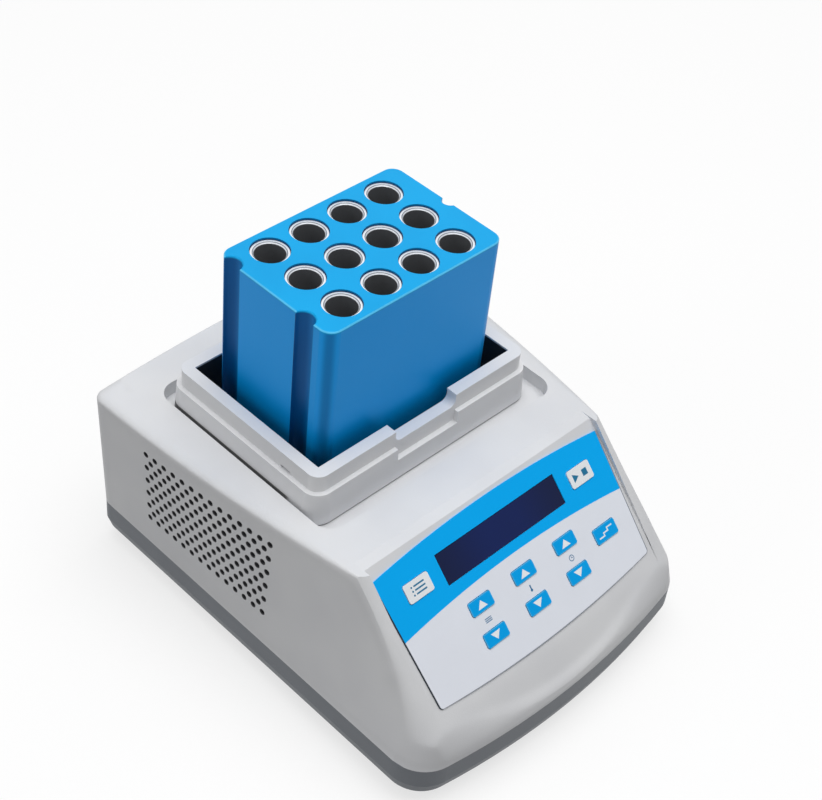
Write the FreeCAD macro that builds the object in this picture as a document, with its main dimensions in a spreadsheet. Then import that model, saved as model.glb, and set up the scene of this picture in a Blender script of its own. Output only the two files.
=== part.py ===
import FreeCAD, Part
import math
import os
import types

import Sketcher

# Dry block heater for sample tubes, in millimetres.
# The ground is z = 0, +Z is up, -Y is the side with the sloping control panel, and x = 0 is the middle.
# Every driving size is written once, here, and goes into the sheet "dims" under the same name.
SIZES = {
    # Housing shell: outline at the seam with the tray, outline at the deck, and the sloping front.
    "wall": 2.6,
    "foot_height": 4.0,
    "seam_height": 28.0,
    "deck_height": 108.0,
    "seam_half_width": 99.5,
    "seam_front": 128.0,
    "seam_back": 128.0,
    "front_bow": 11.0,
    "back_bow": 4.5,
    "front_round": 17.0,
    "back_round": 6.0,
    "deck_back_half": 104.0,
    "deck_front_half": 77.0,
    "deck_back": 125.5,
    "deck_front": 118.0,
    "deck_front_bow": 6.0,
    "side_bulge": 7.0,
    "nose_land": 0.8,
    "nose_rise": 20.0,
    "nose_setback": 14.7,
    "nose_bow": 0.5,
    "deck_edge": 1.6,
    "ridge_edge": 57.5,
    "ridge_tilt": 47.6,
    "shoulder_top": 88.3,
    "shoulder_flare": 0.0945,
    "shoulder_round_top": 8.0,
    "shoulder_round_low": 20.0,
    # Recess for the control panel.
    "panel_edge": 52.25,
    "panel_tilt": 45.0,
    "recess_edge": 47.0,
    "recess_lip": 0.75,
    "recess_half_width": 80.5,
    "recess_run_out": 118.0,
    # Tray below the seam.
    "tray_round": 12.0,
    "fit_gap": 0.3,
    # Well in the deck, its collar and the moat around it.
    "well_middle": 40.5,
    "opening_width": 132.5,
    "opening_depth": 91.0,
    "rim_rise": 21.0,
    "rim_width": 6.6,
    "ledge_drop": 10.0,
    "ledge_width": 2.5,
    "collar_draft": 1.3,
    "collar_round": 9.0,
    "collar_wall": 2.5,
    "shadow_height": 0.7,
    "shadow_depth": 1.2,
    "moat_sink": 8.5,
    "moat_left_gap": 1.2,
    "moat_right_gap": 6.8,
    "moat_front_gap": 11.0,
    "moat_back_gap": 6.5,
    "moat_round": 10.0,
    "skirt_depth": 5.0,
    "notch_width": 42.0,
    "notch_drop": 7.0,
    "notch_round": 4.0,
    "catch_length": 6.5,
    "catch_height": 2.0,
    "catch_depth": 1.2,
    "catch_setback": 30.0,
    # Heating block with its wells.
    "well_depth": 39.0,
    "block_width": 116.0,
    "block_depth": 78.0,
    "block_height": 111.2,
    "block_gap": 0.3,
    "block_round": 7.0,
    "block_edge": 0.6,
    "tube_pitch": 25.0,
    "tube_bore": 15.6,
    "tube_mouth": 20.0,
    "mouth_depth": 1.4,
    "mouth_cone": 0.8,
    "tube_depth": 98.0,
    "tube_end_cone": 6.0,
    "groove_radius": 6.0,
    "groove_back": 29.0,
    "groove_front": 22.0,
    "groove_sink": 1.0,
    "key_groove_radius": 4.0,
    # Heating stage under the block.
    "liner_wall": 1.4,
    "plate_thickness": 10.0,
    "element_thickness": 2.0,
    "element_border": 6.0,
    "jacket_wall": 12.0,
    "jacket_floor": 22.0,
    "jacket_rise": 13.0,
    "shelf_thickness": 1.5,
    "post_radius": 4.0,
    "post_inset": 9.0,
    "probe_radius": 2.0,
    "probe_length": 40.0,
    "probe_seat": 7.0,
    "probe_offset": 30.0,
    "cutout_radius": 8.0,
    "cutout_height": 9.0,
    "cutout_offset": 28.0,
    # Control panel, measured along the slope from the middle of the label.
    "label_drop": 42.07,
    "label_thickness": 0.6,
    "label_margin": 0.7,
    "label_taper": 2.8,
    "label_top": 34.1,
    "label_top_rise": 4.8,
    "label_low": 35.4,
    "label_low_rise": 4.9,
    "label_corner": 2.0,
    "window_width": 84.0,
    "window_height": 16.0,
    "window_up": 20.0,
    "window_flange": 2.0,
    "window_flange_thickness": 1.0,
    "window_sink": 0.2,
    "key_rise": 0.5,
    "key_travel": 0.5,
    "key_round": 1.2,
    "key_gap": 0.3,
    "key_flange": 1.2,
    "key_flange_thickness": 1.2,
    "arrow_width": 15.0,
    "arrow_height": 7.4,
    "arrow_spacing": 30.5,
    "arrow_upper": -4.8,
    "arrow_lower": -22.0,
    "pad_width": 16.0,
    "pad_height": 9.6,
    "pad_side": 58.2,
    "pad_up": 19.7,
    "step_height": 8.2,
    "step_side": 57.0,
    "step_up": -12.7,
    "switch_side": 6.0,
    "switch_body": 3.6,
    "plunger_side": 3.2,
    "board_depth": 13.0,
    "board_thickness": 1.6,
    "board_width": 152.0,
    "board_height": 62.0,
    "board_up": -1.0,
    "lcd_width": 92.0,
    "lcd_height": 22.0,
    "lcd_thickness": 4.6,
    "lcd_board_width": 98.0,
    "lcd_board_height": 32.0,
    "standoff_radius": 2.8,
    "standoff_inset": 4.0,
    # Back panel with the mains inlet and the power switch.
    "back_panel_middle": 34.0,
    "back_panel_width": 84.0,
    "back_panel_height": 40.0,
    "back_panel_level": 60.0,
    "back_panel_plane": 121.0,
    "inlet_side": 50.0,
    "inlet_width": 30.0,
    "inlet_height": 34.0,
    "inlet_flange": 2.5,
    "inlet_border": 1.5,
    "inlet_body_depth": 18.5,
    "socket_width": 24.0,
    "socket_height": 16.4,
    "socket_depth": 16.0,
    "socket_drop": 6.2,
    "socket_corner": 4.0,
    "blade_width": 2.0,
    "blade_height": 4.0,
    "blade_spread": 7.0,
    "blade_length": 11.0,
    "drawer_width": 23.0,
    "drawer_height": 8.4,
    "drawer_depth": 15.0,
    "drawer_up": 9.6,
    "drawer_lip": 1.2,
    "rocker_side": 14.0,
    "rocker_frame_width": 15.0,
    "rocker_frame_height": 21.0,
    "rocker_frame_lip": 2.0,
    "rocker_body_depth": 15.0,
    "rocker_width": 9.4,
    "rocker_height": 15.4,
    "rocker_throw": 18.0,
    "rocker_pivot": 3.0,
    "rocker_crown": 3.8,
    "rocker_dish": 0.9,
    "rocker_heel": 2.0,
    "rocker_heel_half": 4.2,
    "rocker_pin_radius": 1.2,
    "rocker_pin_reach": 1.2,
    # Power electronics on the tray floor.
    "power_board_width": 112.0,
    "power_board_depth": 84.0,
    "power_board_rise": 7.0,
    "pillar_radius": 3.0,
    "pillar_inset": 5.0,
    "transformer_width": 46.0,
    "transformer_depth": 38.0,
    "transformer_height": 34.0,
    "transformer_side": 26.0,
    "sink_width": 40.0,
    "sink_depth": 26.0,
    "sink_height": 28.0,
    "sink_side": 30.0,
    "fin_thickness": 1.4,
    "sink_base": 4.0,
    # Feet, bosses and screws.
    "foot_radius": 8.0,
    "foot_side": 70.0,
    "foot_front": 96.0,
    "foot_back": 100.0,
    "boss_radius": 4.5,
    "boss_side": 82.0,
    "boss_front": 84.0,
    "boss_back": 112.0,
    "screw_radius": 1.5,
    "screw_head_radius": 3.0,
    "screw_head_height": 2.2,
    "screw_length": 20.0,
    "screw_gap": 0.3,
    "pilot_gap": 0.1,
    "screw_well_depth": 14.0,
    "foot_bevel": 1.0,
    "collar_screw_side": 50.0,
    # Ventilation holes in the left wall.
    "vent_radius": 1.7,
    "vent_pitch": 6.55,
    "vent_row_step": 4.65,
    "vent_middle": 38.0,
    "vent_level": 71.5,
}

doc = FreeCAD.newDocument("dry_block_heater")
sheet = doc.addObject("Spreadsheet::Sheet", "dims")
for row, (alias, number) in enumerate(SIZES.items(), 1):
    sheet.set(f"A{row}", alias)
    sheet.set(f"B{row}", str(number))
    sheet.setAlias(f"B{row}", alias)
doc.recompute()


class Size:
    """A size that is known both as a rule on the sheet's names and as a number."""

    def __init__(self, rule, number):
        self.rule = rule
        self.number = number

    def __float__(self):
        return float(self.number)

    def joined(self, other, sign, number):
        """Write this size and another as one rule."""
        text = other.rule if isinstance(other, Size) else repr(float(other))
        return Size(f"({self.rule} {sign} {text})", number)

    def __add__(self, other):
        return self.joined(other, "+", self.number + float(other))

    def __sub__(self, other):
        return self.joined(other, "-", self.number - float(other))

    def __mul__(self, other):
        return self.joined(other, "*", self.number * float(other))

    def __truediv__(self, other):
        return self.joined(other, "/", self.number / float(other))

    def __neg__(self):
        return Size(f"(-{self.rule})", -self.number)

    def __rsub__(self, other):
        return -self + other

    def __rtruediv__(self, other):
        return Size(f"({float(other)!r} / {self.rule})", float(other) / self.number)

    __radd__ = __add__
    __rmul__ = __mul__


def root(size):
    """The square root of a size."""
    return Size(f"sqrt({size.rule})", math.sqrt(size.number))


def turned(function, angle):
    """A sine, cosine or tangent of an angle in degrees."""
    return Size(f"{function}({angle.rule} * 1deg)", getattr(math, function)(math.radians(angle.number)))


s = types.SimpleNamespace(**{name: Size(f"dims.{name}", number) for name, number in SIZES.items()})

# A spare length for cutters, the turns of a round edge in degrees, how far the slope's cutter reaches, and the
# steps and the power by which the nose curves back.
SPARE = 20.0
ROUND_TURNS = (0, 30, 60, 90)
SHOULDER_FALL = math.radians(72)
SLOPE_ABOVE = 30.0
SLOPE_BELOW = 150.0
NOSE_SHARE = 1.3
NOSE_STEPS = (0, 1 / 3, 2 / 3, 1)
NOSE_CURVE = 1.5


def bind(thing, target, size):
    """Tie one property of an object to its rule, or set it where it is a bare number."""
    if isinstance(size, Size):
        thing.setExpression(target, size.rule)
    else:
        thing.setExpression(target, repr(float(size)))


def place(thing, x=0.0, y=0.0, z=0.0, tilt=None):
    """Put an object at a point, turned about X by an angle where one is given."""
    for axis, size in zip("xyz", (x, y, z)):
        bind(thing, f"Placement.Base.{axis}", size)
    if tilt is not None:
        thing.Placement = FreeCAD.Placement(FreeCAD.Vector(), FreeCAD.Rotation(FreeCAD.Vector(1, 0, 0), 1))
        thing.setExpression("Placement.Rotation.Angle", f"{tilt.rule} * 1deg")
    return thing


def box(name, length, width, height, x, y, z):
    """A box whose middle is at x and y and whose underside is at z."""
    thing = doc.addObject("Part::Box", name)
    for side, size in zip(("Length", "Width", "Height"), (length, width, height)):
        bind(thing, side, size)
    return place(thing, x - length / 2, y - width / 2, z)


def rod(name, radius, height, x, y, z, along=None):
    """A round rod that starts at a point and runs up, or along the direction given."""
    thing = doc.addObject("Part::Cylinder", name)
    bind(thing, "Radius", radius)
    bind(thing, "Height", height)
    place(thing, x, y, z)
    if along is not None:
        thing.Placement.Rotation = FreeCAD.Rotation(FreeCAD.Vector(0, 0, 1), FreeCAD.Vector(*along))
    return thing


def post(name, radius, height, x, y, z):
    """A six-sided post that starts at a point and runs up, with its corners on that radius."""
    thing = doc.addObject("Part::Prism", name)
    thing.Polygon = 6
    bind(thing, "Circumradius", radius)
    bind(thing, "Height", height)
    return place(thing, x, y, z)


def joined(name, *things):
    """One solid made of several that touch or overlap."""
    thing = doc.addObject("Part::MultiFuse", name)
    thing.Shapes = list(things)
    thing.Refine = True
    return thing


def gathered(name, things):
    """A group of separate solids."""
    thing = doc.addObject("Part::Compound", name)
    thing.Links = list(things)
    return thing


def cut(name, base, *tools):
    """What is left of one solid after others are taken out of it."""
    thing = doc.addObject("Part::Cut", name)
    thing.Base = base
    thing.Tool = tools[0] if len(tools) == 1 else gathered(f"{name}_cutters", tools)
    return thing


def shared(name, first, second):
    """The space that two solids have in common."""
    thing = doc.addObject("Part::Common", name)
    thing.Base = first
    thing.Tool = second
    return thing


def outline(sketch, corners):
    """Draw a closed outline through corners (x, y) or (x, y, radius of the arc to the next corner).

    A positive radius bulges to the right of the way round, which is outwards on an anticlockwise outline.
    """
    spots = [FreeCAD.Vector(float(corner[0]), float(corner[1]), 0) for corner in corners]
    lines = []
    ways = []
    for index, corner in enumerate(corners):
        start = spots[index]
        finish = spots[(index + 1) % len(corners)]
        forward = len(corner) == 2 or float(corner[2]) > 0
        ends = (start, finish) if forward else (finish, start)
        ways.append((1, 2) if forward else (2, 1))
        if len(corner) == 3:
            lines.append(Part.Arc(ends[0], arc_middle(start, finish, float(corner[2])), ends[1]))
        else:
            lines.append(Part.LineSegment(*ends))
    sides = sketch.addGeometry(lines)
    rules = []
    for index, corner in enumerate(corners):
        following = (index + 1) % len(corners)
        ends = (sides[index], ways[index][1], sides[following], ways[following][0])
        rules.append((Sketcher.Constraint("Coincident", *ends), None))
        rules.append(held("DistanceX", -2, sides[index], ways[index][0], corner[0]))
        rules.append(held("DistanceY", -1, sides[index], ways[index][0], corner[1]))
        if len(corner) == 3:
            radius = corner[2] if float(corner[2]) > 0 else -corner[2]
            rules.append((Sketcher.Constraint("Radius", sides[index], float(radius)), radius))
    constrain(sketch, rules)


def constrain(sketch, rules):
    """Add constraints to a sketch and tie those that have a size to it."""
    first = len(sketch.Constraints)
    sketch.addConstraint([constraint for constraint, _ in rules])
    for index, (_, size) in enumerate(rules, first):
        if size is not None:
            bind(sketch, f"Constraints[{index}]", size)


def held(kind, axis, side, point, size):
    """A constraint that holds one coordinate at a size, or on the axis where the size is nothing."""
    if float(size) == 0:
        return Sketcher.Constraint("PointOnObject", side, point, axis), None
    return Sketcher.Constraint(kind, -1, 1, side, point, float(size)), size


def arc_middle(start, finish, radius):
    """The point halfway along the short arc of that radius between two points."""
    chord = finish - start
    sag = abs(radius) - math.sqrt(radius * radius - chord.Length * chord.Length / 4)
    outward = FreeCAD.Vector(chord.y, -chord.x, 0).normalize()
    return (start + finish) / 2 + outward * math.copysign(sag, radius)


def rounded(sketch, width, depth, radius, x=0.0, y=0.0):
    """Draw a rectangle with round corners about a middle point."""
    right = x + width / 2
    left = x - width / 2
    back = y + depth / 2
    front = y - depth / 2
    outline(sketch, [
        (left + radius, front), (right - radius, front, radius),
        (right, front + radius), (right, back - radius, radius),
        (right - radius, back), (left + radius, back, radius),
        (left, back - radius), (left, front + radius, radius),
    ])


def rectangle(sketch, width, depth, x=0.0, y=0.0):
    """Draw a rectangle with sharp corners about a middle point."""
    right = x + width / 2
    left = x - width / 2
    back = y + depth / 2
    front = y - depth / 2
    outline(sketch, [(left, front), (right, front), (right, back), (left, back)])


def ring(sketch, radius, x, y):
    """Draw a circle about a middle point."""
    middle = FreeCAD.Vector(float(x), float(y), 0)
    side = sketch.addGeometry(Part.Circle(middle, FreeCAD.Vector(0, 0, 1), float(radius)))
    constrain(sketch, [
        held("DistanceX", -2, side, 3, x),
        held("DistanceY", -1, side, 3, y),
        (Sketcher.Constraint("Radius", side, float(radius)), radius),
    ])


def hexagons(sketch, radius, spots):
    """Draw one hexagon at each spot, with its corners on that radius."""
    reach = radius * math.sin(math.radians(60))
    for x, y in spots:
        right = x + radius / 2
        left = x - radius / 2
        outline(sketch, [
            (x - radius, y), (left, y - reach), (right, y - reach),
            (x + radius, y), (right, y + reach), (left, y + reach),
        ])


def squares(sketch, side, spots):
    """Draw one square at each spot."""
    for x, y in spots:
        rectangle(sketch, side, side, x, y)


class Moulding:
    """A body that is built up from sketches, one feature after another."""

    def __init__(self, label):
        self.body = doc.addObject("PartDesign::Body", label)
        self.body.AllowCompound = True
        self.label = label
        self.count = 0

    def name(self, word):
        """A name of its own for the next feature."""
        self.count += 1
        return f"{self.label}_{word}_{self.count}"

    def sketch(self, role="XY_Plane", lift=0.0):
        """A new sketch on one of the body's planes, moved along that plane's normal."""
        sketch = self.body.newObject("Sketcher::SketchObject", self.name("sketch"))
        plane = [item for item in self.body.Origin.OriginFeatures if item.Role == role][0]
        sketch.AttachmentSupport = (plane, [""])
        sketch.MapMode = "FlatFace"
        bind(sketch, "AttachmentOffset.Base.z", lift)
        return sketch

    def pad(self, sketch, height, taper=None):
        """Raise a sketch into a solid."""
        feature = self.body.newObject("PartDesign::Pad", self.name("pad"))
        feature.Profile = sketch
        bind(feature, "Length", height)
        if taper is not None:
            bind(feature, "TaperAngle", taper)
        return feature

    def pocket(self, sketch, depth, upward=False, both_ways=False):
        """Sink a sketch into the solid, downwards unless it is told otherwise."""
        feature = self.body.newObject("PartDesign::Pocket", self.name("pocket"))
        feature.Profile = sketch
        feature.Reversed = upward
        if both_ways:
            feature.SideType = "Symmetric"
        bind(feature, "Length", depth)
        return feature

    def slab(self, low, high, draw, *sizes):
        """Raise a drawn outline from one level to another."""
        sketch = self.sketch(lift=low)
        draw(sketch, *sizes)
        return self.pad(sketch, high - low)

    def loft(self, lower, *upper, subtract=False, ruled=True):
        """Join sketches by straight rulings or by a smooth skin, as a solid or as a cut."""
        kind = "PartDesign::SubtractiveLoft" if subtract else "PartDesign::AdditiveLoft"
        feature = self.body.newObject(kind, self.name("loft"))
        feature.Profile = lower
        feature.Sections = list(upper)
        feature.Ruled = ruled
        return feature

    def edges(self, choose):
        """The names of the edges that the choice accepts, on the solid as it stands."""
        doc.recompute()
        return [f"Edge{index}" for index, edge in enumerate(self.body.Tip.Shape.Edges, 1) if choose(edge)]

    def dress(self, kind, choose, target, size):
        """Round or bevel the edges that the choice accepts."""
        names = self.edges(choose)
        base = self.body.Tip
        feature = self.body.newObject(f"PartDesign::{kind}", self.name(kind.lower()))
        feature.Base = (base, names)
        bind(feature, target, size)
        return feature


def bow_radius(half, rise):
    """The radius of an arc over a half chord that rises by that much."""
    return half * half / (rise * 2) + rise / 2


def bowed_corner(half, apex, bow, curve):
    """Where a bowed end meets its corner arc, the corner arc's radius, and where the straight side starts."""
    radius = bow_radius(half, bow)
    x = half - curve
    y = apex - radius + root(radius * radius - x * x)
    turn = curve * radius / (radius - x)
    return radius, x, y, turn, y - turn * root(1 - x * x / (radius * radius))


def bowed_outline(sketch, front, back, side=None):
    """Draw an outline with a bowed front and back, round corners, and straight or bulging sides.

    The front and the back are each (half width, furthest point, bow, corner curve).
    """
    front_radius, front_x, front_y, front_turn, front_side = bowed_corner(*front)
    back_radius, back_x, back_y, back_turn, back_side = bowed_corner(*back)
    bulge = (side,) if side is not None else ()
    outline(sketch, [
        (-front_x, -front_y, front_radius), (front_x, -front_y, front_turn),
        (front[0], -front_side) + bulge, (back[0], back_side, back_turn),
        (back_x, back_y, back_radius), (-back_x, back_y, back_turn),
        (-back[0], back_side) + bulge, (-front[0], -front_side, front_turn),
    ])


def seam_outline(sketch, inset):
    """Draw the housing's outline at the seam, moved in by an inset."""
    half = s.seam_half_width - inset
    front = (half, s.seam_front - inset, s.front_bow, s.front_round - inset)
    back = (half, s.seam_back - inset, s.back_bow, s.back_round)
    bowed_outline(sketch, front, back)


def deck_outline(sketch, inset):
    """Draw the housing's outline at the deck, moved in by an inset."""
    front = (s.deck_front_half - inset, s.deck_front - inset, s.deck_front_bow, s.front_round - inset)
    back = (s.deck_back_half - inset, s.deck_back - inset, s.back_bow, s.back_round)
    bowed_outline(sketch, front, back, bow_radius((s.deck_front + s.deck_back) / 2, s.side_bulge))


def shoulder_outline(sketch, half, curve):
    """Draw the space over the slope: flat in the middle, with a round shoulder falling away at each side."""
    fall = SHOULDER_FALL
    flat = half - curve
    reach = flat + curve * math.sin(fall)
    drop = curve * (1 - math.cos(fall))
    far = half + SPARE * 3
    deep = drop + (far - reach) * math.tan(fall)
    top = s.deck_height
    outline(sketch, [
        (-flat, 0.0), (flat, 0.0, -curve), (reach, -drop), (far, -deep),
        (far, top), (-far, top), (-far, -deep), (-reach, -drop, -curve),
    ])


def slope_sketch(form, edge, top, tilt, along):
    """A sketch square to the slope, at a distance down it from the edge at that height."""
    sketch = form.sketch("XZ_Plane")
    bind(sketch, "AttachmentOffset.Base.y", top - along * turned("sin", tilt))
    bind(sketch, "AttachmentOffset.Base.z", edge + along * turned("cos", tilt))
    sketch.AttachmentOffset.Rotation = FreeCAD.Rotation(FreeCAD.Vector(1, 0, 0), 1)
    sketch.setExpression("AttachmentOffset.Rotation.Angle", f"{tilt.rule} * 1deg")
    return sketch


def housing_form(label, inset, edge, tilt, sink, curve, turns):
    """The housing's whole form: lofted walls, bowed nose and shouldered slope, all moved in by an inset.

    The walls turn into the deck by a curve, in the turns given in degrees.
    """
    form = Moulding(label)
    low = form.sketch(lift=s.seam_height)
    seam_outline(low, inset)
    sections = []
    for angle in turns:
        short = curve * (1 - math.sin(math.radians(angle)))
        section = form.sketch(lift=s.deck_height - inset - short)
        deck_outline(section, inset + curve * (1 - math.cos(math.radians(angle))))
        sections.append(section)
    form.loft(low, *sections)
    sections = []
    half = s.seam_half_width + SPARE * 2
    for share in NOSE_STEPS:
        fall = share ** NOSE_CURVE
        section = form.sketch(lift=s.seam_height + s.nose_land + (s.nose_rise - s.nose_land) * share)
        radius = bow_radius(s.seam_half_width, s.front_bow + (s.nose_bow - s.front_bow) * fall)
        apex = s.seam_front - s.nose_setback * fall - inset * NOSE_SHARE
        corner = apex - radius + root(radius * radius - half * half)
        far = s.seam_front + SPARE * 4
        outline(section, [(-half, -far), (half, -far), (half, -corner, -radius), (-half, -corner)])
        sections.append(section)
    form.loft(*sections, subtract=True, ruled=False)
    sections = []
    for along in (-SLOPE_ABOVE, SLOPE_BELOW):
        section = slope_sketch(form, edge, s.deck_height - sink, tilt, along)
        span = (along + SLOPE_ABOVE) / (SLOPE_ABOVE + SLOPE_BELOW)
        curve = s.shoulder_round_top + (s.shoulder_round_low - s.shoulder_round_top) * span - inset
        shoulder_outline(section, s.shoulder_top + s.shoulder_flare * along - inset, curve)
        sections.append(section)
    form.loft(*sections, subtract=True)
    return form


# Levels and outlines that follow from the driving sizes.
moat_floor = s.deck_height - s.moat_sink
rim_top = s.deck_height + s.rim_rise
ledge_top = rim_top - s.ledge_drop
plate_top = rim_top - s.well_depth
plate_base = plate_top - s.plate_thickness
tray_floor = s.foot_height + s.wall
rim_outer = s.rim_width * 2
ledge_outer = rim_outer + s.ledge_width * 2
base_outer = ledge_outer + s.collar_draft * 2
skirt_outer = s.collar_wall * 2
sleeve_outer = s.liner_wall * 2
jacket_width = s.opening_width + sleeve_outer + s.jacket_wall * 2
jacket_depth = s.opening_depth + sleeve_outer + s.jacket_wall * 2
jacket_base = plate_base - s.jacket_floor
shelf_base = jacket_base - s.shelf_thickness
power_board_base = tray_floor + s.power_board_rise
power_board_top = power_board_base + s.board_thickness
corners = [(side, end) for side in (-1, 1) for end in (-1, 1)]

VENT_COLUMNS = 14
VENT_ROWS = 11
TUBE_COLUMNS = 4
TUBE_ROWS = 3
FIN_COUNT = 7

nodes = {}


def keep(label, thing):
    """List an object as one of the pieces of the assembly."""
    thing.Label = label
    nodes[label] = thing
    return thing


def on_panel(label):
    """A body whose own plane lies on the sloping panel, with the label's middle at its origin."""
    piece = Moulding(label)
    y = -s.panel_edge - s.label_drop * turned("cos", s.panel_tilt)
    z = s.deck_height - s.label_drop * turned("sin", s.panel_tilt)
    place(piece.body, 0.0, y, z, s.panel_tilt)
    return piece


# Keys: middle across and up the panel, width and height.
KEYS = {
    "option_key": (-s.pad_side, s.pad_up, s.pad_width, s.pad_height),
    "start_stop_key": (s.pad_side, s.pad_up, s.pad_width, s.pad_height),
    "step_key": (s.step_side, s.step_up, s.pad_width, s.step_height),
}
for column, word in ((-1, "left"), (0, "middle"), (1, "right")):
    across = s.arrow_spacing * column
    KEYS[f"up_key_{word}"] = (across, s.arrow_upper, s.arrow_width, s.arrow_height)
    KEYS[f"down_key_{word}"] = (across, s.arrow_lower, s.arrow_width, s.arrow_height)

# Upper housing.
outer = housing_form("housing_outside", 0.0, s.ridge_edge, s.ridge_tilt, 0.0, s.deck_edge, ROUND_TURNS)
panel_sink = s.wall / turned("cos", s.panel_tilt)
inner = housing_form("housing_inside", s.wall, s.panel_edge, s.panel_tilt, panel_sink, 0.0, ROUND_TURNS[-1:])

moat_width = s.opening_width + base_outer + s.moat_left_gap + s.moat_right_gap
moat_depth = s.opening_depth + base_outer + s.moat_front_gap + s.moat_back_gap
moat_across = (s.moat_right_gap - s.moat_left_gap) / 2
moat_middle = s.well_middle + (s.moat_back_gap - s.moat_front_gap) / 2
tub = Moulding("moat_tub")
tub_sizes = (moat_width + s.wall * 2, moat_depth + s.wall * 2, s.moat_round + s.wall, moat_across, moat_middle)
tub.slab(moat_floor - s.wall, s.deck_height - s.wall / 2, rounded, *tub_sizes)
moat = Moulding("moat_space")
moat_sizes = (moat_width, moat_depth, s.moat_round, moat_across, moat_middle)
moat.slab(moat_floor, s.deck_height + SPARE, rounded, *moat_sizes)
hole_width = s.opening_width + skirt_outer + s.fit_gap * 2
hole_depth = s.opening_depth + skirt_outer + s.fit_gap * 2
well_hole_level = moat_floor - s.wall - SPARE / 2
well_hole = box("well_hole", hole_width, hole_depth, SPARE + s.wall, 0.0, s.well_middle, well_hole_level)

recess = Moulding("panel_recess")
recess_sketch = recess.sketch("YZ_Plane")
lip = s.panel_edge + s.recess_lip
run_out = s.deck_height - (s.recess_run_out - s.panel_edge) * turned("tan", s.panel_tilt)
outline(recess_sketch, [
    (-s.recess_edge, s.deck_height), (-s.recess_edge, s.deck_height + SPARE),
    (-s.recess_run_out, s.deck_height + SPARE), (-s.recess_run_out, run_out),
    (-lip, s.deck_height - s.recess_lip * turned("tan", s.panel_tilt)),
])
recess_pad = recess.pad(recess_sketch, s.recess_half_width * 2)
recess_pad.SideType = "Symmetric"

panel_ways = on_panel("panel_ways")
label_holes = on_panel("label_holes")
for across, up, width, height in KEYS.values():
    wide = width + s.key_gap * 2
    high = height + s.key_gap * 2
    panel_ways.slab(-SPARE / 2, SPARE / 2, rectangle, wide, high, across, up)
    label_holes.slab(-SPARE / 2, SPARE / 2, rounded, wide, high, s.key_round + s.key_gap, across, up)
for holes in (panel_ways, label_holes):
    window_sizes = (s.window_width + s.fit_gap * 2, s.window_height + s.fit_gap * 2, 0.0, s.window_up)
    holes.slab(-SPARE / 2, SPARE / 2, rectangle, *window_sizes)

back_block = box(
    "back_panel_backing", s.back_panel_width + s.wall * 2, SPARE, s.back_panel_height + s.wall * 2,
    s.back_panel_middle, s.back_panel_plane - s.wall + SPARE / 2,
    s.back_panel_level - s.back_panel_height / 2 - s.wall)
back_space = box(
    "back_panel_space", s.back_panel_width, SPARE, s.back_panel_height,
    s.back_panel_middle, s.back_panel_plane + SPARE / 2, s.back_panel_level - s.back_panel_height / 2)
inlet_body_width = s.inlet_width - s.inlet_border * 2
inlet_body_height = s.inlet_height - s.inlet_border * 2
inlet_hole = box(
    "inlet_hole", inlet_body_width + s.fit_gap * 2, SPARE, inlet_body_height + s.fit_gap * 2,
    s.inlet_side, s.back_panel_plane - s.wall, s.back_panel_level - inlet_body_height / 2 - s.fit_gap)
frame_body_width = s.rocker_frame_width - s.inlet_border
frame_body_height = s.rocker_frame_height - s.inlet_border
switch_hole = box(
    "switch_hole", frame_body_width + s.fit_gap * 2, SPARE, frame_body_height + s.fit_gap * 2,
    s.rocker_side, s.back_panel_plane - s.wall, s.back_panel_level - frame_body_height / 2 - s.fit_gap)

vent_rods = []
for row in range(VENT_ROWS):
    columns = VENT_COLUMNS - row % 2
    for column in range(columns):
        vent_x = -s.deck_back_half - SPARE
        vent_y = s.vent_middle + s.vent_pitch * (column - (columns - 1) / 2)
        vent_z = s.vent_level + s.vent_row_step * (row - (VENT_ROWS - 1) / 2)
        vent = post(f"vent_rod_{row}_{column}", s.vent_radius, SPARE * 2, vent_x, vent_y, vent_z)
        vent.Placement.Rotation = FreeCAD.Rotation(FreeCAD.Vector(0, 1, 0), 90)
        vent_rods.append(vent)

boss_spots = []
for side in (-1, 1):
    boss_spots.append((s.boss_side * side, -s.boss_front))
    boss_spots.append((s.boss_side * side, s.boss_back))
boss_rods = []
pilot_rods = []
screw_seat = s.foot_height + s.screw_well_depth
for index, (x, y) in enumerate(boss_spots):
    boss_rods.append(rod(f"boss_rod_{index}", s.boss_radius, s.deck_height, x, y, s.seam_height))
    pilot_sizes = (s.screw_radius + s.pilot_gap, s.screw_length + s.pilot_gap)
    pilot_rods.append(rod(f"pilot_rod_{index}", *pilot_sizes, x, y, screw_seat))
bosses = shared("housing_bosses", gathered("boss_rods", boss_rods), outer.body)
collar_screw_y = s.opening_depth / 2 + base_outer / 4
collar_screw_spots = []
for side, end in corners:
    collar_screw_spots.append((s.collar_screw_side * side, s.well_middle + collar_screw_y * end))
collar_holes = []
for index, (x, y) in enumerate(collar_screw_spots):
    hole_radius = s.screw_radius + s.screw_gap
    collar_holes.append(rod(f"collar_hole_{index}", hole_radius, SPARE, x, y, well_hole_level))

hollow = cut("housing_hollow", inner.body, tub.body)
hollow = cut("housing_hollow_back", hollow, back_block)
shell = cut("housing_shell", outer.body, hollow)
shell = joined("housing_with_bosses", shell, bosses)
shell = cut("housing_moat", shell, moat.body)
shell = cut("housing_well", shell, well_hole)
shell = cut("housing_recess", shell, recess.body)
shell = cut("housing_panel", shell, panel_ways.body)
shell = cut("housing_back", shell, back_space)
shell = cut("housing_inlet", shell, inlet_hole, switch_hole)
shell = cut("housing_screws", shell, *pilot_rods, *collar_holes)
keep("upper_housing", cut("upper_housing", shell, *vent_rods))

# Lower housing.


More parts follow.
